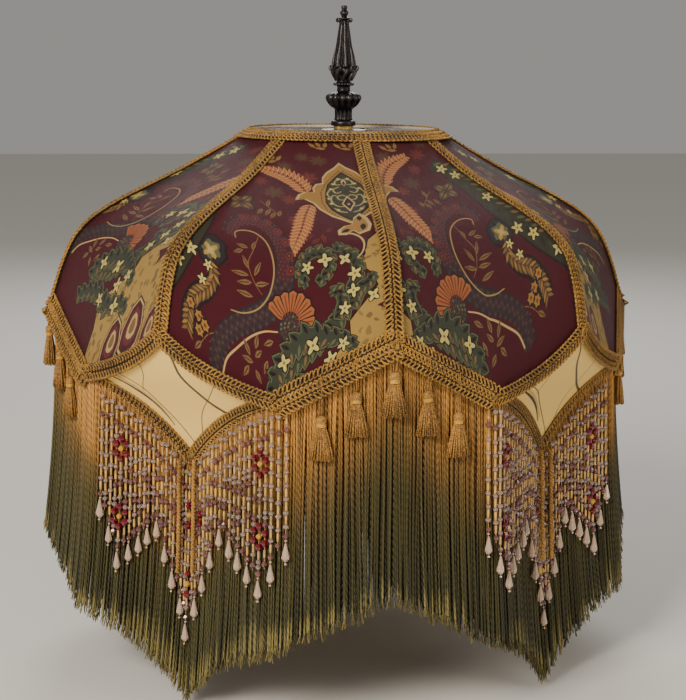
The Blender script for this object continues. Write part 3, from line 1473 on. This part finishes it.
braids = []
for name, both in runs.items():
    points, lines, facings, alongs = [], [], [], []
    for line, facing in both:
        start = len(points)
        points += list(line)
        facings += list(facing)
        alongs += list(path_frames(line))
        lines += [(start + i, start + i + 1) for i in range(len(line) - 1)]
    seed = seed_mesh(name + "_seed", points, lines, facing=facings, along=alongs)
    ridge = "rib" in name
    stitch = ridge_stitch if ridge else flat_stitch
    loops = grow(
        name + "_loops", seed, lay_along, {"Stitch": stitch, "Pitch": stitch_pitch, "Finish": gold_rayon}
    )
    width = 10.5 * MM if len(both) < 3 else 7.2 * MM
    tapes = several([tape(*thinned(*run), width, ridge) for run in both])
    under = new_mesh(name + "_tape", *tapes, [tape_brown])
    for piece in (loops, under):
        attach(piece, "shade")
    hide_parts(name)
    braids += [loops, under]
bpy.data.objects.remove(flat_stitch)
bpy.data.objects.remove(ridge_stitch)
header = new_mesh("fringe_header", *several([tube(run, 1.15 * MM, 6) for run in header_runs]), [header_gold])
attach(header, "shade")
ring_turn = np.linspace(0, 2 * math.pi, 161)[:-1]
fold_line = polar(ring_radius - 0.6 * MM, ring_turn, 0.9 * MM)
fold = new_mesh("lining_fold", *tube(fold_line, 1.5 * MM, 8, True), [pale_binding])
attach(fold, "shade")
print("loops have", sum(len(b.data.polygons) for b in braids), "faces")

# %% [markdown]
# ## The dip-dyed fringe
# The fringe is chainette: soft two-ply cords of about two millimetres, sewn side by
# side to a header behind the rim braid. It was dipped in olive dye, so it fades from
# gold to green about a third of the way down, and every end is frayed. Three layers
# hang behind each other, the back ones in shade. The cords are lines with a little
# sway of their own; a recipe gives them a round section and keeps
# two numbers on it, how far down and how far round, from which the finish works out
# both the dye and the slanting plies.

# %% The cord recipe
cord_body = recipe("round_cords", {"Radius": "Float", "Sides": "Int", "Finish": "Material"})
_, cord_tree, cord_in, _ = cord_body
cord_lines = cord_tree.node("GeometryNodeMeshToCurve", None, {"Mesh": cord_in["Geometry"]})["Curve"]
thickness_of = carried(cord_tree, "size")
sizing = {"Curve": cord_lines, "Radius": thickness_of}
sized = cord_tree.node("GeometryNodeSetCurveRadius", None, sizing)["Curve"]
circle_size = {"Resolution": cord_in["Sides"], "Radius": cord_in["Radius"]}
section = cord_tree.node("GeometryNodeCurvePrimitiveCircle", None, circle_size)["Curve"]
turn_share = cord_tree.node("GeometryNodeSplineParameter")["Factor"]
keeping = {"Geometry": section, "Name": "round", "Value": turn_share}
section = cord_tree.node(
    "GeometryNodeStoreNamedAttribute", {"data_type": "FLOAT", "domain": "POINT"}, keeping
)["Geometry"]
sweep = {"Curve": sized, "Profile Curve": section, "Scale": thickness_of, "Fill Caps": True}
body = cord_tree.node("GeometryNodeCurveToMesh", None, sweep)["Mesh"]
close_recipe(cord_tree, body, cord_in["Finish"])

# %% The dyed cord finish


def dyed_cord():
    made, tree, shader = material("dyed_cord", Roughness=0.5, Sheen_Weight=0.03, Specular_IOR_Level=0.3)
    down, turn, own = (
        tree.node("ShaderNodeAttribute", {"attribute_name": name})["Fac"] for name in ("down", "round", "own")
    )
    place = tree.node("ShaderNodeTexCoord")["Object"]
    patch, broad = noise(place, 30.0), noise(place, 9.0, 1.0)
    dipped = down + (broad - 0.5) * 0.34 + (patch - 0.5) * 0.16 + (own - 0.6) * 0.16
    stops = [
        (0.0, paint(190, 134, 62)),
        (0.26, paint(172, 122, 56)),
        (0.4, paint(112, 84, 38)),
        (0.56, paint(72, 64, 28)),
        (0.92, paint(62, 58, 28)),
        (1.0, paint(118, 106, 58)),
    ]
    dye = tree.node("ShaderNodeValToRGB", {"stops": stops}, {"Fac": dipped})["Color"]
    ply_pitch = 5.2 * MM
    plies = ((down * (fringe_length / ply_pitch) + turn) * (2 * math.pi)).sine()
    light = 0.16 + own * 1.1 + plies * 0.22 + (patch - 0.5) * 0.2
    feed(shader, Base_Color=scaled(dye, light), Normal=bumps(plies, 0.6, 0.0005))
    return made


cord_finish = dyed_cord()

# %% Where the cords hang
cord_steps = 13
top_down = np.linspace(0, 1, cord_steps)


def rim_quarter():
    """The rim from one peak to the next, and the matching directions straight outwards."""
    line, _ = rim_eighth()
    first = line[::-1]
    whole = np.vstack([first, over_kite(line)[1:]])
    return even_line(whole), np.linalg.norm(np.diff(whole, axis=0), axis=1).sum()


rim_line, rim_length = rim_quarter()


def sway_noise(t, waves):
    """A gentle wandering of neighbouring cords, from a few fixed waves."""
    return sum(size * math.sin(2 * math.pi * (pace * t + start)) for size, pace, start in waves)


def hanging_cords(quarter, pitch, layer, stretch):
    """Lines of cord in one quarter: points, joins and each point's numbers. Back layers are dyed darker."""
    count = int(rim_length / pitch)
    waves = [(0.5, 21, 0.4 * layer), (0.35, 53, 0.37 + 0.3 * layer), (0.3, 119, 0.71 * layer)]
    points, joins, sizes, downs, owns = [], [], [], [], []
    for i in range(count):
        share = (i + 0.5 + 0.25 * layer + chance.uniform(-0.22, 0.22)) / (count + 0.5)
        share = min(max(share, 0.8 * MM / rim_length), 1 - 0.8 * MM / rim_length)
        top = turned(rim_line(share), quarter)
        radial = unit(top * [1, 1, 0])
        side = np.array([-radial[1], radial[0], 0])
        length = fringe_length * stretch * (1 + chance.uniform(-0.022, 0.012))
        own = chance.uniform(0.3, 1) if layer == 0 else chance.uniform(0.05, 0.35)
        sway = sway_noise((quarter + share) / 4, waves) * (1.8 if layer == 0 else 0.5)
        drift = sway * MM + chance.uniform(-1.3, 1.3) * MM
        curl = chance.uniform(-0.9, 0.9) * MM
        out = chance.uniform(-0.7, 0.7) * MM + layer * -1.9 * MM + 0.7 * MM
        start = len(points)
        for t in top_down:
            place = top - np.array([0, 0, trim_drop + t * length]) + np.array([0, 0, 3 * MM]) * (1 - t)
            place = place + radial * (hang_flare * t * t + out * min(1, 4 * t))
            place = place + side * (drift * t**1.5 + curl * math.sin(math.pi * 1.7 * t + own * 6))
            points.append(place)
            sizes.append((1.25 if layer == 2 else 1.0) - 0.12 * t)
            downs.append(t * 0.97)
            owns.append(own)
        joins += [(start + k, start + k + 1) for k in range(cord_steps - 1)]
        ahead = unit(points[-1] - points[-2])
        for _ in range(4 if layer == 0 else 2):
            begin = len(points)
            splay = (side * chance.uniform(-1, 1) + radial * chance.uniform(-0.8, 0.8)) * 2.0 * MM
            for t in (0, 0.45, 1):
                reach = ahead * 7.5 * MM * t * chance.uniform(0.75, 1.1)
                points.append(points[start + cord_steps - 1] + reach + splay * t)
                sizes.append(0.42 - 0.2 * t)
                downs.append(0.965 + 0.035 * t)
                owns.append(own)
            joins += [(begin, begin + 1), (begin + 1, begin + 2)]
    return points, joins, sizes, downs, owns


fringes = []
for quarter in range(4):
    points, joins, sizes, downs, owns = [], [], [], [], []
    for pitch, layer, stretch in ((2.05 * MM, 0, 1.0), (1.75 * MM, 1, 0.985), (1.45 * MM, 2, 0.965)):
        more = hanging_cords(quarter, pitch, layer, stretch)
        joins += [(a + len(points), b + len(points)) for a, b in more[1]]
        points += more[0]
        sizes += more[2]
        downs += more[3]
        owns += more[4]
    seed = seed_mesh(f"fringe_seed_{quarter + 1}", points, joins, size=sizes, down=downs, own=owns)
    cords = grow(
        f"cord_fringe_{quarter + 1}", seed, cord_body,
        {"Radius": 0.92 * MM, "Sides": 5, "Finish": cord_finish},
    )
    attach(cords, "shade")
    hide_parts(f"fringe_{quarter + 1}")
    fringes.append(cords)
triangles = sum(len(p.vertices) - 2 for p in fringes[0].data.polygons)
print("one quarter of fringe has", triangles, "triangles over", round(rim_length / MM), "mm of rim")

# %% [markdown]
# ## The bead curtains
# Below each kite hangs a curtain of forty-one strings, and every other one ends in a
# champagne drop. The lengths rise and fall so that the drops make three points. A
# string starts with small smoky rounds, goes on with gold-lined bugles, and carries
# mauve facetted rounds in slanting rows. Crimson beads round an amber one make the
# flowers. A recipe strews each kind of bead on its own points.

# %% Glass finishes


def glass(name, colour, roughness=0.08, clear=0.35, vary=0.25):
    made, tree, shader = material(
        name, Roughness=roughness, IOR=1.52, Transmission_Weight=clear, Coat_Weight=0.7,
        Coat_Roughness=0.03,
    )
    place = tree.node("ShaderNodeTexCoord")["Object"]
    feed(shader, Base_Color=scaled(colour[:3], 1 + (noise(place, 170.0, 1.0) - 0.5) * vary * 2))
    return made


smoky_glass = glass("smoky_glass", paint(206, 182, 172), 0.03, 0.7, 0.5)
mauve_glass = glass("mauve_glass", paint(132, 84, 84), 0.04, 0.4, 0.6)
gold_lined = glass("gold_lined_glass", paint(206, 160, 88), 0.14, 0.15, 0.8)
crimson_glass = glass("crimson_glass", paint(104, 2, 24), 0.05, 0.1, 0.4)
amber_glass = glass("amber_glass", paint(214, 156, 52), 0.06, 0.2, 0.2)
drop_glass = glass("champagne_glass", paint(246, 216, 190), 0.02, 0.55, 0.1)
thread_finish = rayon("bead_thread", paint(150, 112, 60), paint(196, 158, 96))

# %% The bead shapes


def turned_shape(profile, sides, ripple=None):
    """A turned shape from (radius, height) pairs, from axis to axis; ripple gives lobes and their depth."""
    points, rings = [], []
    for radius, height in profile:
        if radius < 1e-6:
            rings.append([len(points)])
            points.append((0, 0, height))
            continue
        rings.append(range(len(points), len(points) + sides))
        lobes, depth = ripple(height) if ripple else (0, 0)
        for k in range(sides):
            angle = 2 * math.pi * k / sides
            r = radius * (1 + depth * (abs(math.cos(lobes * angle / 2)) - 0.6) if lobes else 1)
            points.append((r * math.cos(angle), r * math.sin(angle), height))
    faces = []
    for low, high in zip(rings, rings[1:]):
        for k in range(sides):
            n = (k + 1) % sides
            if len(low) == 1 and len(high) > 1:
                faces.append((low[0], high[n], high[k]))
            elif len(high) == 1 and len(low) > 1:
                faces.append((low[k], low[n], high[0]))
            elif len(low) > 1:
                faces.append((low[k], low[n], high[n], high[k]))
    return [np.array(p) for p in points], faces


def bead(name, profile, sides):
    points, faces = turned_shape([(r * MM, h * MM) for r, h in profile], sides)
    return new_mesh(name, points, faces, [])


round_profile = [(0, -1.7), (1.2, -1.45), (1.9, -0.5), (1.9, 0.5), (1.2, 1.45), (0, 1.7)]
facet_profile = [(0, -2.2), (1.3, -2.0), (2.45, -0.3), (2.45, 0.3), (1.3, 2.0), (0, 2.2)]
bugle_profile = [(0, -3.1), (0.85, -3.0), (0.95, -2.7), (0.95, 2.7), (0.85, 3.0), (0, 3.1)]
drop_profile = [(0, -7.2), (1.4, -6.7), (2.8, -4.9), (3.0, -3.7), (1.6, 2.4), (0.7, 6.4), (0, 7.0)]
seed_profile = [(0, -0.9), (0.95, -0.45), (0.95, 0.45), (0, 0.9)]
bead_shapes = {
    "smoky_round": (bead("smoky_round_bead", round_profile, 8), smoky_glass),
    "mauve_facet": (
        bead("mauve_facet_bead", [(r * 0.88, h * 0.88) for r, h in facet_profile], 6), mauve_glass
    ),
    "bugle": (bead("bugle_bead", bugle_profile, 6), gold_lined),
    "crimson": (bead("crimson_bead", [(r * 1.2, h * 1.2) for r, h in facet_profile], 7), crimson_glass),
    "amber": (bead("amber_bead", facet_profile, 7), amber_glass),
    "drop": (bead("drop_bead", drop_profile, 8), drop_glass),
    "seed": (bead("seed_bead", seed_profile, 5), drop_glass),
}

# %% Where the strings start
middle_string, last_string = 20, 40
lower_whole = np.vstack([lower_side(np.linspace(1, 0, 60)), over_kite(lower_side(np.linspace(0, 1, 60)))[1:]])
past_corner = arch(np.linspace(1, 0.7, 12))[1:]
lower_length = np.linalg.norm(np.diff(lower_whole, axis=0), axis=1).sum()
past_length = np.linalg.norm(past_corner[-1] - past_corner[0])
past_length += np.linalg.norm(past_corner[0] - lower_whole[0])
curtain_line = even_line(np.vstack([past_corner[::-1], lower_whole, over_kite(past_corner)]))
far_reach, near_reach = 0.42, 0.55


def curtain_place(number, quarter):
    """Where a string starts. The curtain reaches further towards the peaks at the front and the back."""
    along = number / middle_string - 1
    share = along * (far_reach if along < 0 else near_reach)
    share = 0.5 + (share if quarter % 2 == 0 else -share)
    share = (past_length + share * lower_length) / (lower_length + 2 * past_length)
    return turned(curtain_line(share), quarter)


top_heights = [curtain_place(number, 0)[2] / MM for number in range(last_string + 1)]

# %% What hangs on each string
drop_strings = [0, 4, 12, 20, 28, 36, 40]
drop_lengths = [103, 134, 87, 137, 89, 138, 117]
flowers = {4: 1, 20: 3, 36: 1}
flower_heights = (40.0, 92.0)
mauve_rows = [
    (3, 15, 70, 30), (3, 17, 84, 42), (25, 37, 32, 70), (23, 37, 42, 84), (8, 19, 78, 60),
    (21, 32, 60, 78), (0, 40, 22, 22), (6, 34, 52, 52),
]
string_lift, header_depth = 17.0, 6.5
curtain_offset = 4.75 * MM


def string_beads(number):
    """Each bead on one string, its kind and how far down it hangs in millimetres, and the string's length."""
    has_drop = number % 2 == 0
    length = float(np.interp(number, drop_strings, drop_lengths)) - (0 if has_drop else string_lift)
    end = length - 17 if has_drop else length - 1
    fixed = []
    for centre, reach in flowers.items():
        fall = top_heights[number] - top_heights[centre]
        for height in flower_heights:
            if number == centre:
                fixed += [("crimson", height - 7.6), ("amber", height), ("crimson", height + 7.6)]
            if abs(number - centre) == reach:
                fixed += [("crimson", height + fall - 3.5), ("crimson", height + fall + 3.5)]
    for first, last, high, low in mauve_rows:
        down = np.interp(number, [first, last], [high, low])
        clear = all(abs(down - other) > 5 for _, other in fixed)
        if first <= number <= last and clear and down < end - 3 and (number + int(high)) % 3:
            fixed.append(("mauve_facet", float(down)))
    fixed.append(("mauve_facet", end - 2.4))
    laid = [("smoky_round", header_depth + (2.0 if has_drop else 4.2))]
    start = header_depth + (4.0 if has_drop else 6.2)
    for kind, down in sorted(fixed, key=lambda place: place[1]):
        if down > end - 2:
            continue
        while down - 2.6 - start > 9.8:
            laid += [("bugle", start + 3.2), ("smoky_round", start + 8.0)]
            start += 9.7
        gap = down - 2.6 - start
        if gap > 6.3:
            laid.append(("bugle", start + gap / 2))
        elif gap > 3.2:
            laid.append(("smoky_round", start + gap / 2))
        laid.append((kind, down))
        start = down + 2.6
    if has_drop:
        laid += [("seed", end + 0.8), ("drop", end + 8.9), ("seed", length + 0.4)]
    return laid, length


# %% Hang the strings under the four kites
hung = {kind: {"points": [], "facing": [], "along": [], "size": []} for kind in bead_shapes}
thread_points, thread_joins = [], []
cord_points, cord_joins = [], []
for quarter in range(4):
    for number in range(last_string + 1):
        top = curtain_place(number, quarter)
        radial = unit(top * [1, 1, 0])
        side = np.array([-radial[1], radial[0], 0])
        laid, length = string_beads(number)
        begin = len(thread_points)
        swing = chance.uniform(-0.8, 0.8) * MM

        def hang_at(down, offset=curtain_offset):
            share = down * MM / fringe_length
            lean = hang_flare * share**2 + offset + 1.2 * MM * min(1, down / 20)
            return top + radial * lean + side * swing * share * 2 - np.array([0, 0, trim_drop + down * MM])

        for kind, down in laid:
            heap = hung[kind]
            heap["points"].append(hang_at(down))
            spin = chance.uniform(0, 2 * math.pi)
            heap["along"].append(radial * math.cos(spin) + side * math.sin(spin))
            heap["facing"].append((0, 0, 1))
            heap["size"].append(chance.uniform(0.93, 1.07))
        for down in np.linspace(-2, length, 7):
            thread_points.append(hang_at(down) - (radial * 2.5 * MM if down < 0 else 0))
        thread_joins += [(begin + i, begin + i + 1) for i in range(6)]
        if abs(number - middle_string) == 2:
            for ply in (0, math.pi):
                begin = len(cord_points)
                for down in np.arange(5, 90, 0.8):
                    turn = ply + down * 2 * math.pi / 5.5
                    wound = (radial * math.cos(turn) + side * math.sin(turn)) * 0.85 * MM
                    cord_points.append(hang_at(down, curtain_offset + 3.8 * MM) + wound)
                cord_joins += [(i, i + 1) for i in range(begin, len(cord_points) - 1)]

beads = []
for kind, (shape, finish) in bead_shapes.items():
    heap = hung[kind]
    seed = seed_mesh(
        kind + "_seed", heap["points"], facing=heap["facing"], along=heap["along"], size=heap["size"]
    )
    strewn = grow(
        kind + "_beads", seed, strew,
        {"Copy": shape, "Size": 1.0, "Finish": finish}, rounded=kind in ("bugle", "seed"),
    )
    beads.append(strewn)
    bpy.data.objects.remove(shape)


def cords_from(name, points, joins, radius, finish):
    """Plain round cords along these lines."""
    plain = np.zeros(len(points))
    seed = seed_mesh(name + "_seed", points, joins, size=plain + 1, down=plain, own=plain)
    return grow(name, seed, cord_body, {"Radius": radius, "Sides": 5, "Finish": finish})


threads = cords_from("bead_threads", thread_points, thread_joins, 0.3 * MM, thread_finish)
curtain_cords = cords_from("curtain_cords", cord_points, cord_joins, 0.95 * MM, header_gold)
beads += [threads, curtain_cords]
for piece in beads:
    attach(piece, "shade")
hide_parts(*[f"bead_fringe_{quarter + 1}" for quarter in range(4)])
print({kind: len(heap["points"]) for kind, heap in hung.items()})

# %% [markdown]
# ## Tassels
# A tassel is a hank of thread folded over its own hanging cord and tied below the
# fold. The fold makes the head, the tie is a few bright turns of thread, and the cut
# ends spread into a skirt. Each one hangs from the rim braid on its own and swings,
# so each rides its own body, and is placed by its CAD piece's box.

# %% One tassel for each body
tassel_thread = rayon("tassel_thread", paint(80, 50, 16), paint(196, 142, 62), 0.42)
tie_thread = rayon("tie_thread", paint(160, 112, 30), paint(226, 180, 80), 0.35)
arch_out = math.atan2(peak[0] - corner[0], corner[1] - peak[1])
head_length, head_radius = 8 * MM, 4.0 * MM
skirt_length, skirt_radius, tassel_flatness = 24 * MM, 9.5 * MM, 0.58


def tassel_parts(thread_length):
    """Points, faces and finishes of a tassel whose hook is at the origin; it faces +X."""
    made, marks = [], []

    def add(part, mark):
        made.append(part)
        marks.extend([mark] * len(part[1]))

    for k in range(4):
        angle = 2 * math.pi * k / 4 + 0.4
        spread_out = 0.75 * MM
        offset = np.array([spread_out * math.cos(angle), spread_out * math.sin(angle), 0])
        bow = np.array([0.3 * MM, chance.uniform(-0.8, 0.8) * MM, 0])
        line = []
        for t in np.linspace(0, 1, 7):
            bulge = math.sin(math.pi * t)
            line.append(offset * (1 + 0.8 * bulge) + bow * bulge - [0, 0, t * (thread_length + 2 * MM)])
        add(tube(line, 0.42 * MM, 5), 0)
    head_top = -thread_length
    profile = [
        (0, head_top + 0.4 * MM), (0.5 * head_radius, head_top), (0.9 * head_radius, head_top - 1.6 * MM),
        (head_radius, head_top - 3.6 * MM), (0.86 * head_radius, head_top - 5.6 * MM),
        (0.66 * head_radius, head_top - 7 * MM), (0, head_top - 8.5 * MM),
    ]
    points, faces = turned_shape(profile[::-1], 18, lambda height: (18, 0.07))
    points = [p * [0.82, 1, 1] for p in points]
    add((points, faces), 0)
    for row in range(3):
        ring = np.linspace(0, 2 * math.pi, 15)[:-1]
        band = polar(0.8 * head_radius, ring, head_top - (5.6 + 0.85 * row) * MM) * [0.84, 1, 1]
        add(tube(band, 0.55 * MM, 5, True), 1)
    strands = 74
    for k in range(strands):
        ring = math.sqrt((k + 0.5) / strands)
        angle = k * 2.39996
        near = np.array([0.62 * math.cos(angle), math.sin(angle), 0]) * ring * 0.72 * head_radius
        far = np.array([tassel_flatness * math.cos(angle), math.sin(angle), 0]) * ring * skirt_radius
        far = far * chance.uniform(0.9, 1.0)
        length = skirt_length - chance.uniform(0, 1.6) * MM
        skirt_top = thread_length + head_length - 1.6 * MM
        line = [
            near + (far - near) * (t**0.8) - [0, 0, skirt_top + t * (length + 1.2 * MM)]
            for t in (0, 0.3, 0.65, 1)
        ]
        add(tube(line, [0.45 * MM, 0.62 * MM, 0.66 * MM, 0.5 * MM], 4), 0)
    points, faces = several(made)
    return np.array(points), faces, marks


tassels = []
for quarter in range(4):
    for number in range(1, 6):
        node = f"tassel_{quarter + 1}_{number}"
        low, high = (np.array(c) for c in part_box(node))
        hook = np.array([(low[0] + high[0]) / 2, (low[1] + high[1]) / 2, high[2]])
        straight = quarter * math.pi / 2
        off = (math.atan2(hook[1], hook[0]) - straight + math.pi) % (2 * math.pi) - math.pi
        heading_out = straight + (0 if number == 3 else math.copysign(arch_out, off))
        points, faces, marks = tassel_parts(high[2] - low[2] - head_length - skirt_length)
        placed = spun(points, heading_out) + hook
        tassel = new_mesh(
            f"silk_tassel_{quarter + 1}_{number}", placed, faces, [tassel_thread, tie_thread], marks
        )
        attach(tassel, node)
        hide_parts(node)
        tassels.append(tassel)
print(len(tassels), "tassels of", len(tassels[0].data.polygons), "faces")

# %% [markdown]
# ## The finial, the spider and the wires
# The finial is cast metal with a near-black bronze finish: a ribbed column, a bowl
# with gadroons, a beaded neck, a cup of slanting leaves under a collar of curled leaf
# tips, a fluted spire and four small scrolls below two stacked knobs. The turned core
# is one profile whose radius swells and sinks round it, and the leaves, scrolls and
# beads are added to it. The frame pieces keep their CAD shapes and only get metal.

# %% Metal finishes


def metal(name, deep, bright, roughness, grain, bump_size):
    """Cast or drawn metal: darker in its hollows, worn on its high places."""
    made, tree, shader = material(name, Metallic=0.85, Roughness=roughness)
    place = tree.node("ShaderNodeTexCoord")["Object"]
    cloud, specks = noise(place, grain, 4.0), noise(place, grain * 9)
    high_places = tree.node("ShaderNodeNewGeometry")["Pointiness"].step(0.49, 0.56)
    worn = high_places * 0.6 + cloud.step(0.45, 0.75) * 0.4
    relief = bumps(cloud + specks * 0.5, 0.4, bump_size)
    feed(
        shader, Base_Color=tree.mix(worn, deep, bright), Roughness=roughness + (cloud - 0.5) * 0.3,
        Normal=relief,
    )
    return made


dark_bronze = metal("dark_bronze", paint(30, 28, 30), paint(78, 72, 72), 0.36, 160.0, 0.0004)
frame_wire = metal("frame_wire", paint(120, 118, 112), paint(176, 172, 164), 0.4, 220.0, 0.0001)
insert_brass = metal("insert_brass", paint(150, 112, 52), paint(214, 176, 104), 0.3, 260.0, 0.0001)

# %% The turned core
finial_low, finial_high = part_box("finial")
finial_base, finial_height = finial_low.z, finial_high.z - finial_low.z
finial_bore, bore_share = 4.4 * MM, 0.108
finial_profile = [
    (9.7, 0), (9.9, 0.012), (9.9, 0.026), (9.5, 0.037), (7.2, 0.046), (6.6, 0.058), (6.5, 0.09),
    (6.6, 0.122), (7.2, 0.138), (9.4, 0.158), (11.4, 0.18), (13.0, 0.208), (13.7, 0.232), (13.0, 0.252),
    (11.0, 0.266), (8.4, 0.276), (5.8, 0.284), (5.2, 0.296), (5.1, 0.315), (5.4, 0.328), (6.6, 0.336),
    (6.9, 0.344), (6.3, 0.354), (5.2, 0.37), (6.6, 0.4), (8.2, 0.43), (9.8, 0.458), (9.9, 0.472),
    (8.6, 0.486), (7.7, 0.52), (6.9, 0.58), (6.0, 0.65), (5.1, 0.72), (4.2, 0.79), (3.4, 0.85),
    (3.1, 0.872), (4.6, 0.88), (5.0, 0.888), (3.2, 0.895), (2.1, 0.905), (2.8, 0.914), (3.5, 0.93),
    (2.9, 0.944), (1.9, 0.954), (2.2, 0.966), (2.5, 0.979), (1.8, 0.991),
]


def ripple_at(height):
    """How many lobes the casting has at this height, and how deep they are."""
    share = (height - finial_base) / finial_height
    if 0.045 < share < 0.13:
        return 12, 0.16
    if 0.15 < share < 0.272:
        return 14, 0.16
    if 0.385 < share < 0.46:
        return 8, 0.2
    if 0.49 < share < 0.86:
        return 8, 0.24
    return 0, 0


fine_profile = [(0, bore_share), (finial_bore / MM, bore_share), (finial_bore / MM, 0)]
for (r1, h1), (r2, h2) in zip(finial_profile, finial_profile[1:]):
    fine_profile += [(r1 + (r2 - r1) * t, h1 + (h2 - h1) * t) for t in (0, 0.5)]
fine_profile += [finial_profile[-1], (0, 1)]
core_profile = [(r * MM, finial_base + h * finial_height) for r, h in fine_profile]
core = turned_shape(core_profile, 84, ripple_at)

# %% Leaves, scrolls and beads on the core


def at_share(share):
    return finial_base + share * finial_height


def curled(path, radii, angle):
    """A tapering horn in the plane of the axis, spun round it."""
    line = smooth_line([(r * MM, twist * MM, at_share(share)) for r, twist, share in path], 5)
    taper = np.interp(np.linspace(0, 1, len(line)), np.linspace(0, 1, len(radii)), radii) * MM
    points, faces = tube(line, taper, 8)
    return spun(points, angle), faces


castings = [core]
for k in range(8):
    angle = 2 * math.pi * k / 8
    slant = [(6.0, -1.6, 0.372), (7.2, -0.8, 0.405), (8.8, 0.4, 0.44), (10.0, 1.6, 0.468)]
    castings.append(curled(slant, [0.7, 1.5, 1.7, 0.9], angle))
    tip_curl = [(8.4, 0, 0.452), (10.4, 0, 0.462), (11.6, 0, 0.478), (10.9, 0, 0.496), (9.8, 0, 0.49)]
    castings.append(curled(tip_curl, [1.5, 1.3, 0.9, 0.6, 0.25], angle + math.pi / 8))
    spire_leaf = [(8.6, 0, 0.486), (8.3, 0, 0.53), (7.4, 0, 0.59), (6.2, 0, 0.66)]
    castings.append(curled(spire_leaf, [1.5, 1.25, 0.9, 0.25], angle))
for k in range(4):
    angle = 2 * math.pi * (k + 0.5) / 4
    scroll = [
        (3.0, 0, 0.84), (4.2, 0, 0.868), (6.3, 0, 0.88), (7.2, 0, 0.868), (6.5, 0, 0.858), (5.8, 0, 0.866)
    ]
    castings.append(curled(scroll, [1.3, 1.4, 1.2, 0.95, 0.7, 0.4], angle))
ball_points, ball_faces = turned_shape(
    [(0, -1.15 * MM), (0.9 * MM, -0.7 * MM), (1.2 * MM, 0), (0.9 * MM, 0.7 * MM), (0, 1.15 * MM)], 8
)
for k in range(20):
    angle = 2 * math.pi * k / 20
    place = polar(7.3 * MM, angle, at_share(0.344))
    castings.append(([p + place for p in ball_points], ball_faces))
finial = new_mesh("cast_finial", *several(castings), [dark_bronze])
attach(finial, "finial")
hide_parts("finial")
print("the finial has", len(finial.data.polygons), "faces and is", round(finial_height / MM), "mm tall")

# %% Metal for the CAD pieces that stay
for node, finish in (("wire_frame", frame_wire), ("spider", frame_wire), ("finial_insert", insert_brass)):
    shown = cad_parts[node]
    shown.data.materials.clear()
    shown.data.materials.append(finish)

# %% [markdown]
# ## What kind of cloth each piece is
# Cloth is declared with the size it was cut to, so that a scene can treat it as
# cloth. The panels and kites are stretched over the wires and sewn down all round,
# and the braid, fringe and beads go with them.

for number, panel in enumerate(panels, 1):
    quarter = (number - 1) // 2 + 1
    rib = "peak" if number % 2 else "kite"
    trims = [f"{rib}_rib_braid_{quarter}_loops", f"{rib}_rib_braid_{quarter}_tape"]
for quarter, kite in enumerate(kites, 1):
    trims = [f"kite_edge_braid_{quarter}_loops", f"kite_edge_braid_{quarter}_tape", f"cord_fringe_{quarter}"]
    if quarter == 1:
        trims += [piece.name for piece in beads]

# %% The size of the whole, before and after
looks_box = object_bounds()
grown = [b - a for low, high in zip(CAD_BOX, looks_box) for a, b in zip(low, high)]
print("grown by", [round(g / MM, 1) for g in grown], "mm")
weights = {o.name: sum(len(p.vertices) - 2 for p in o.data.polygons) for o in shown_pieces()}
total = sum(weights.values())
print("heaviest:", sorted(weights.items(), key=lambda w: -w[1])[:5])
print("triangles in all:", total)
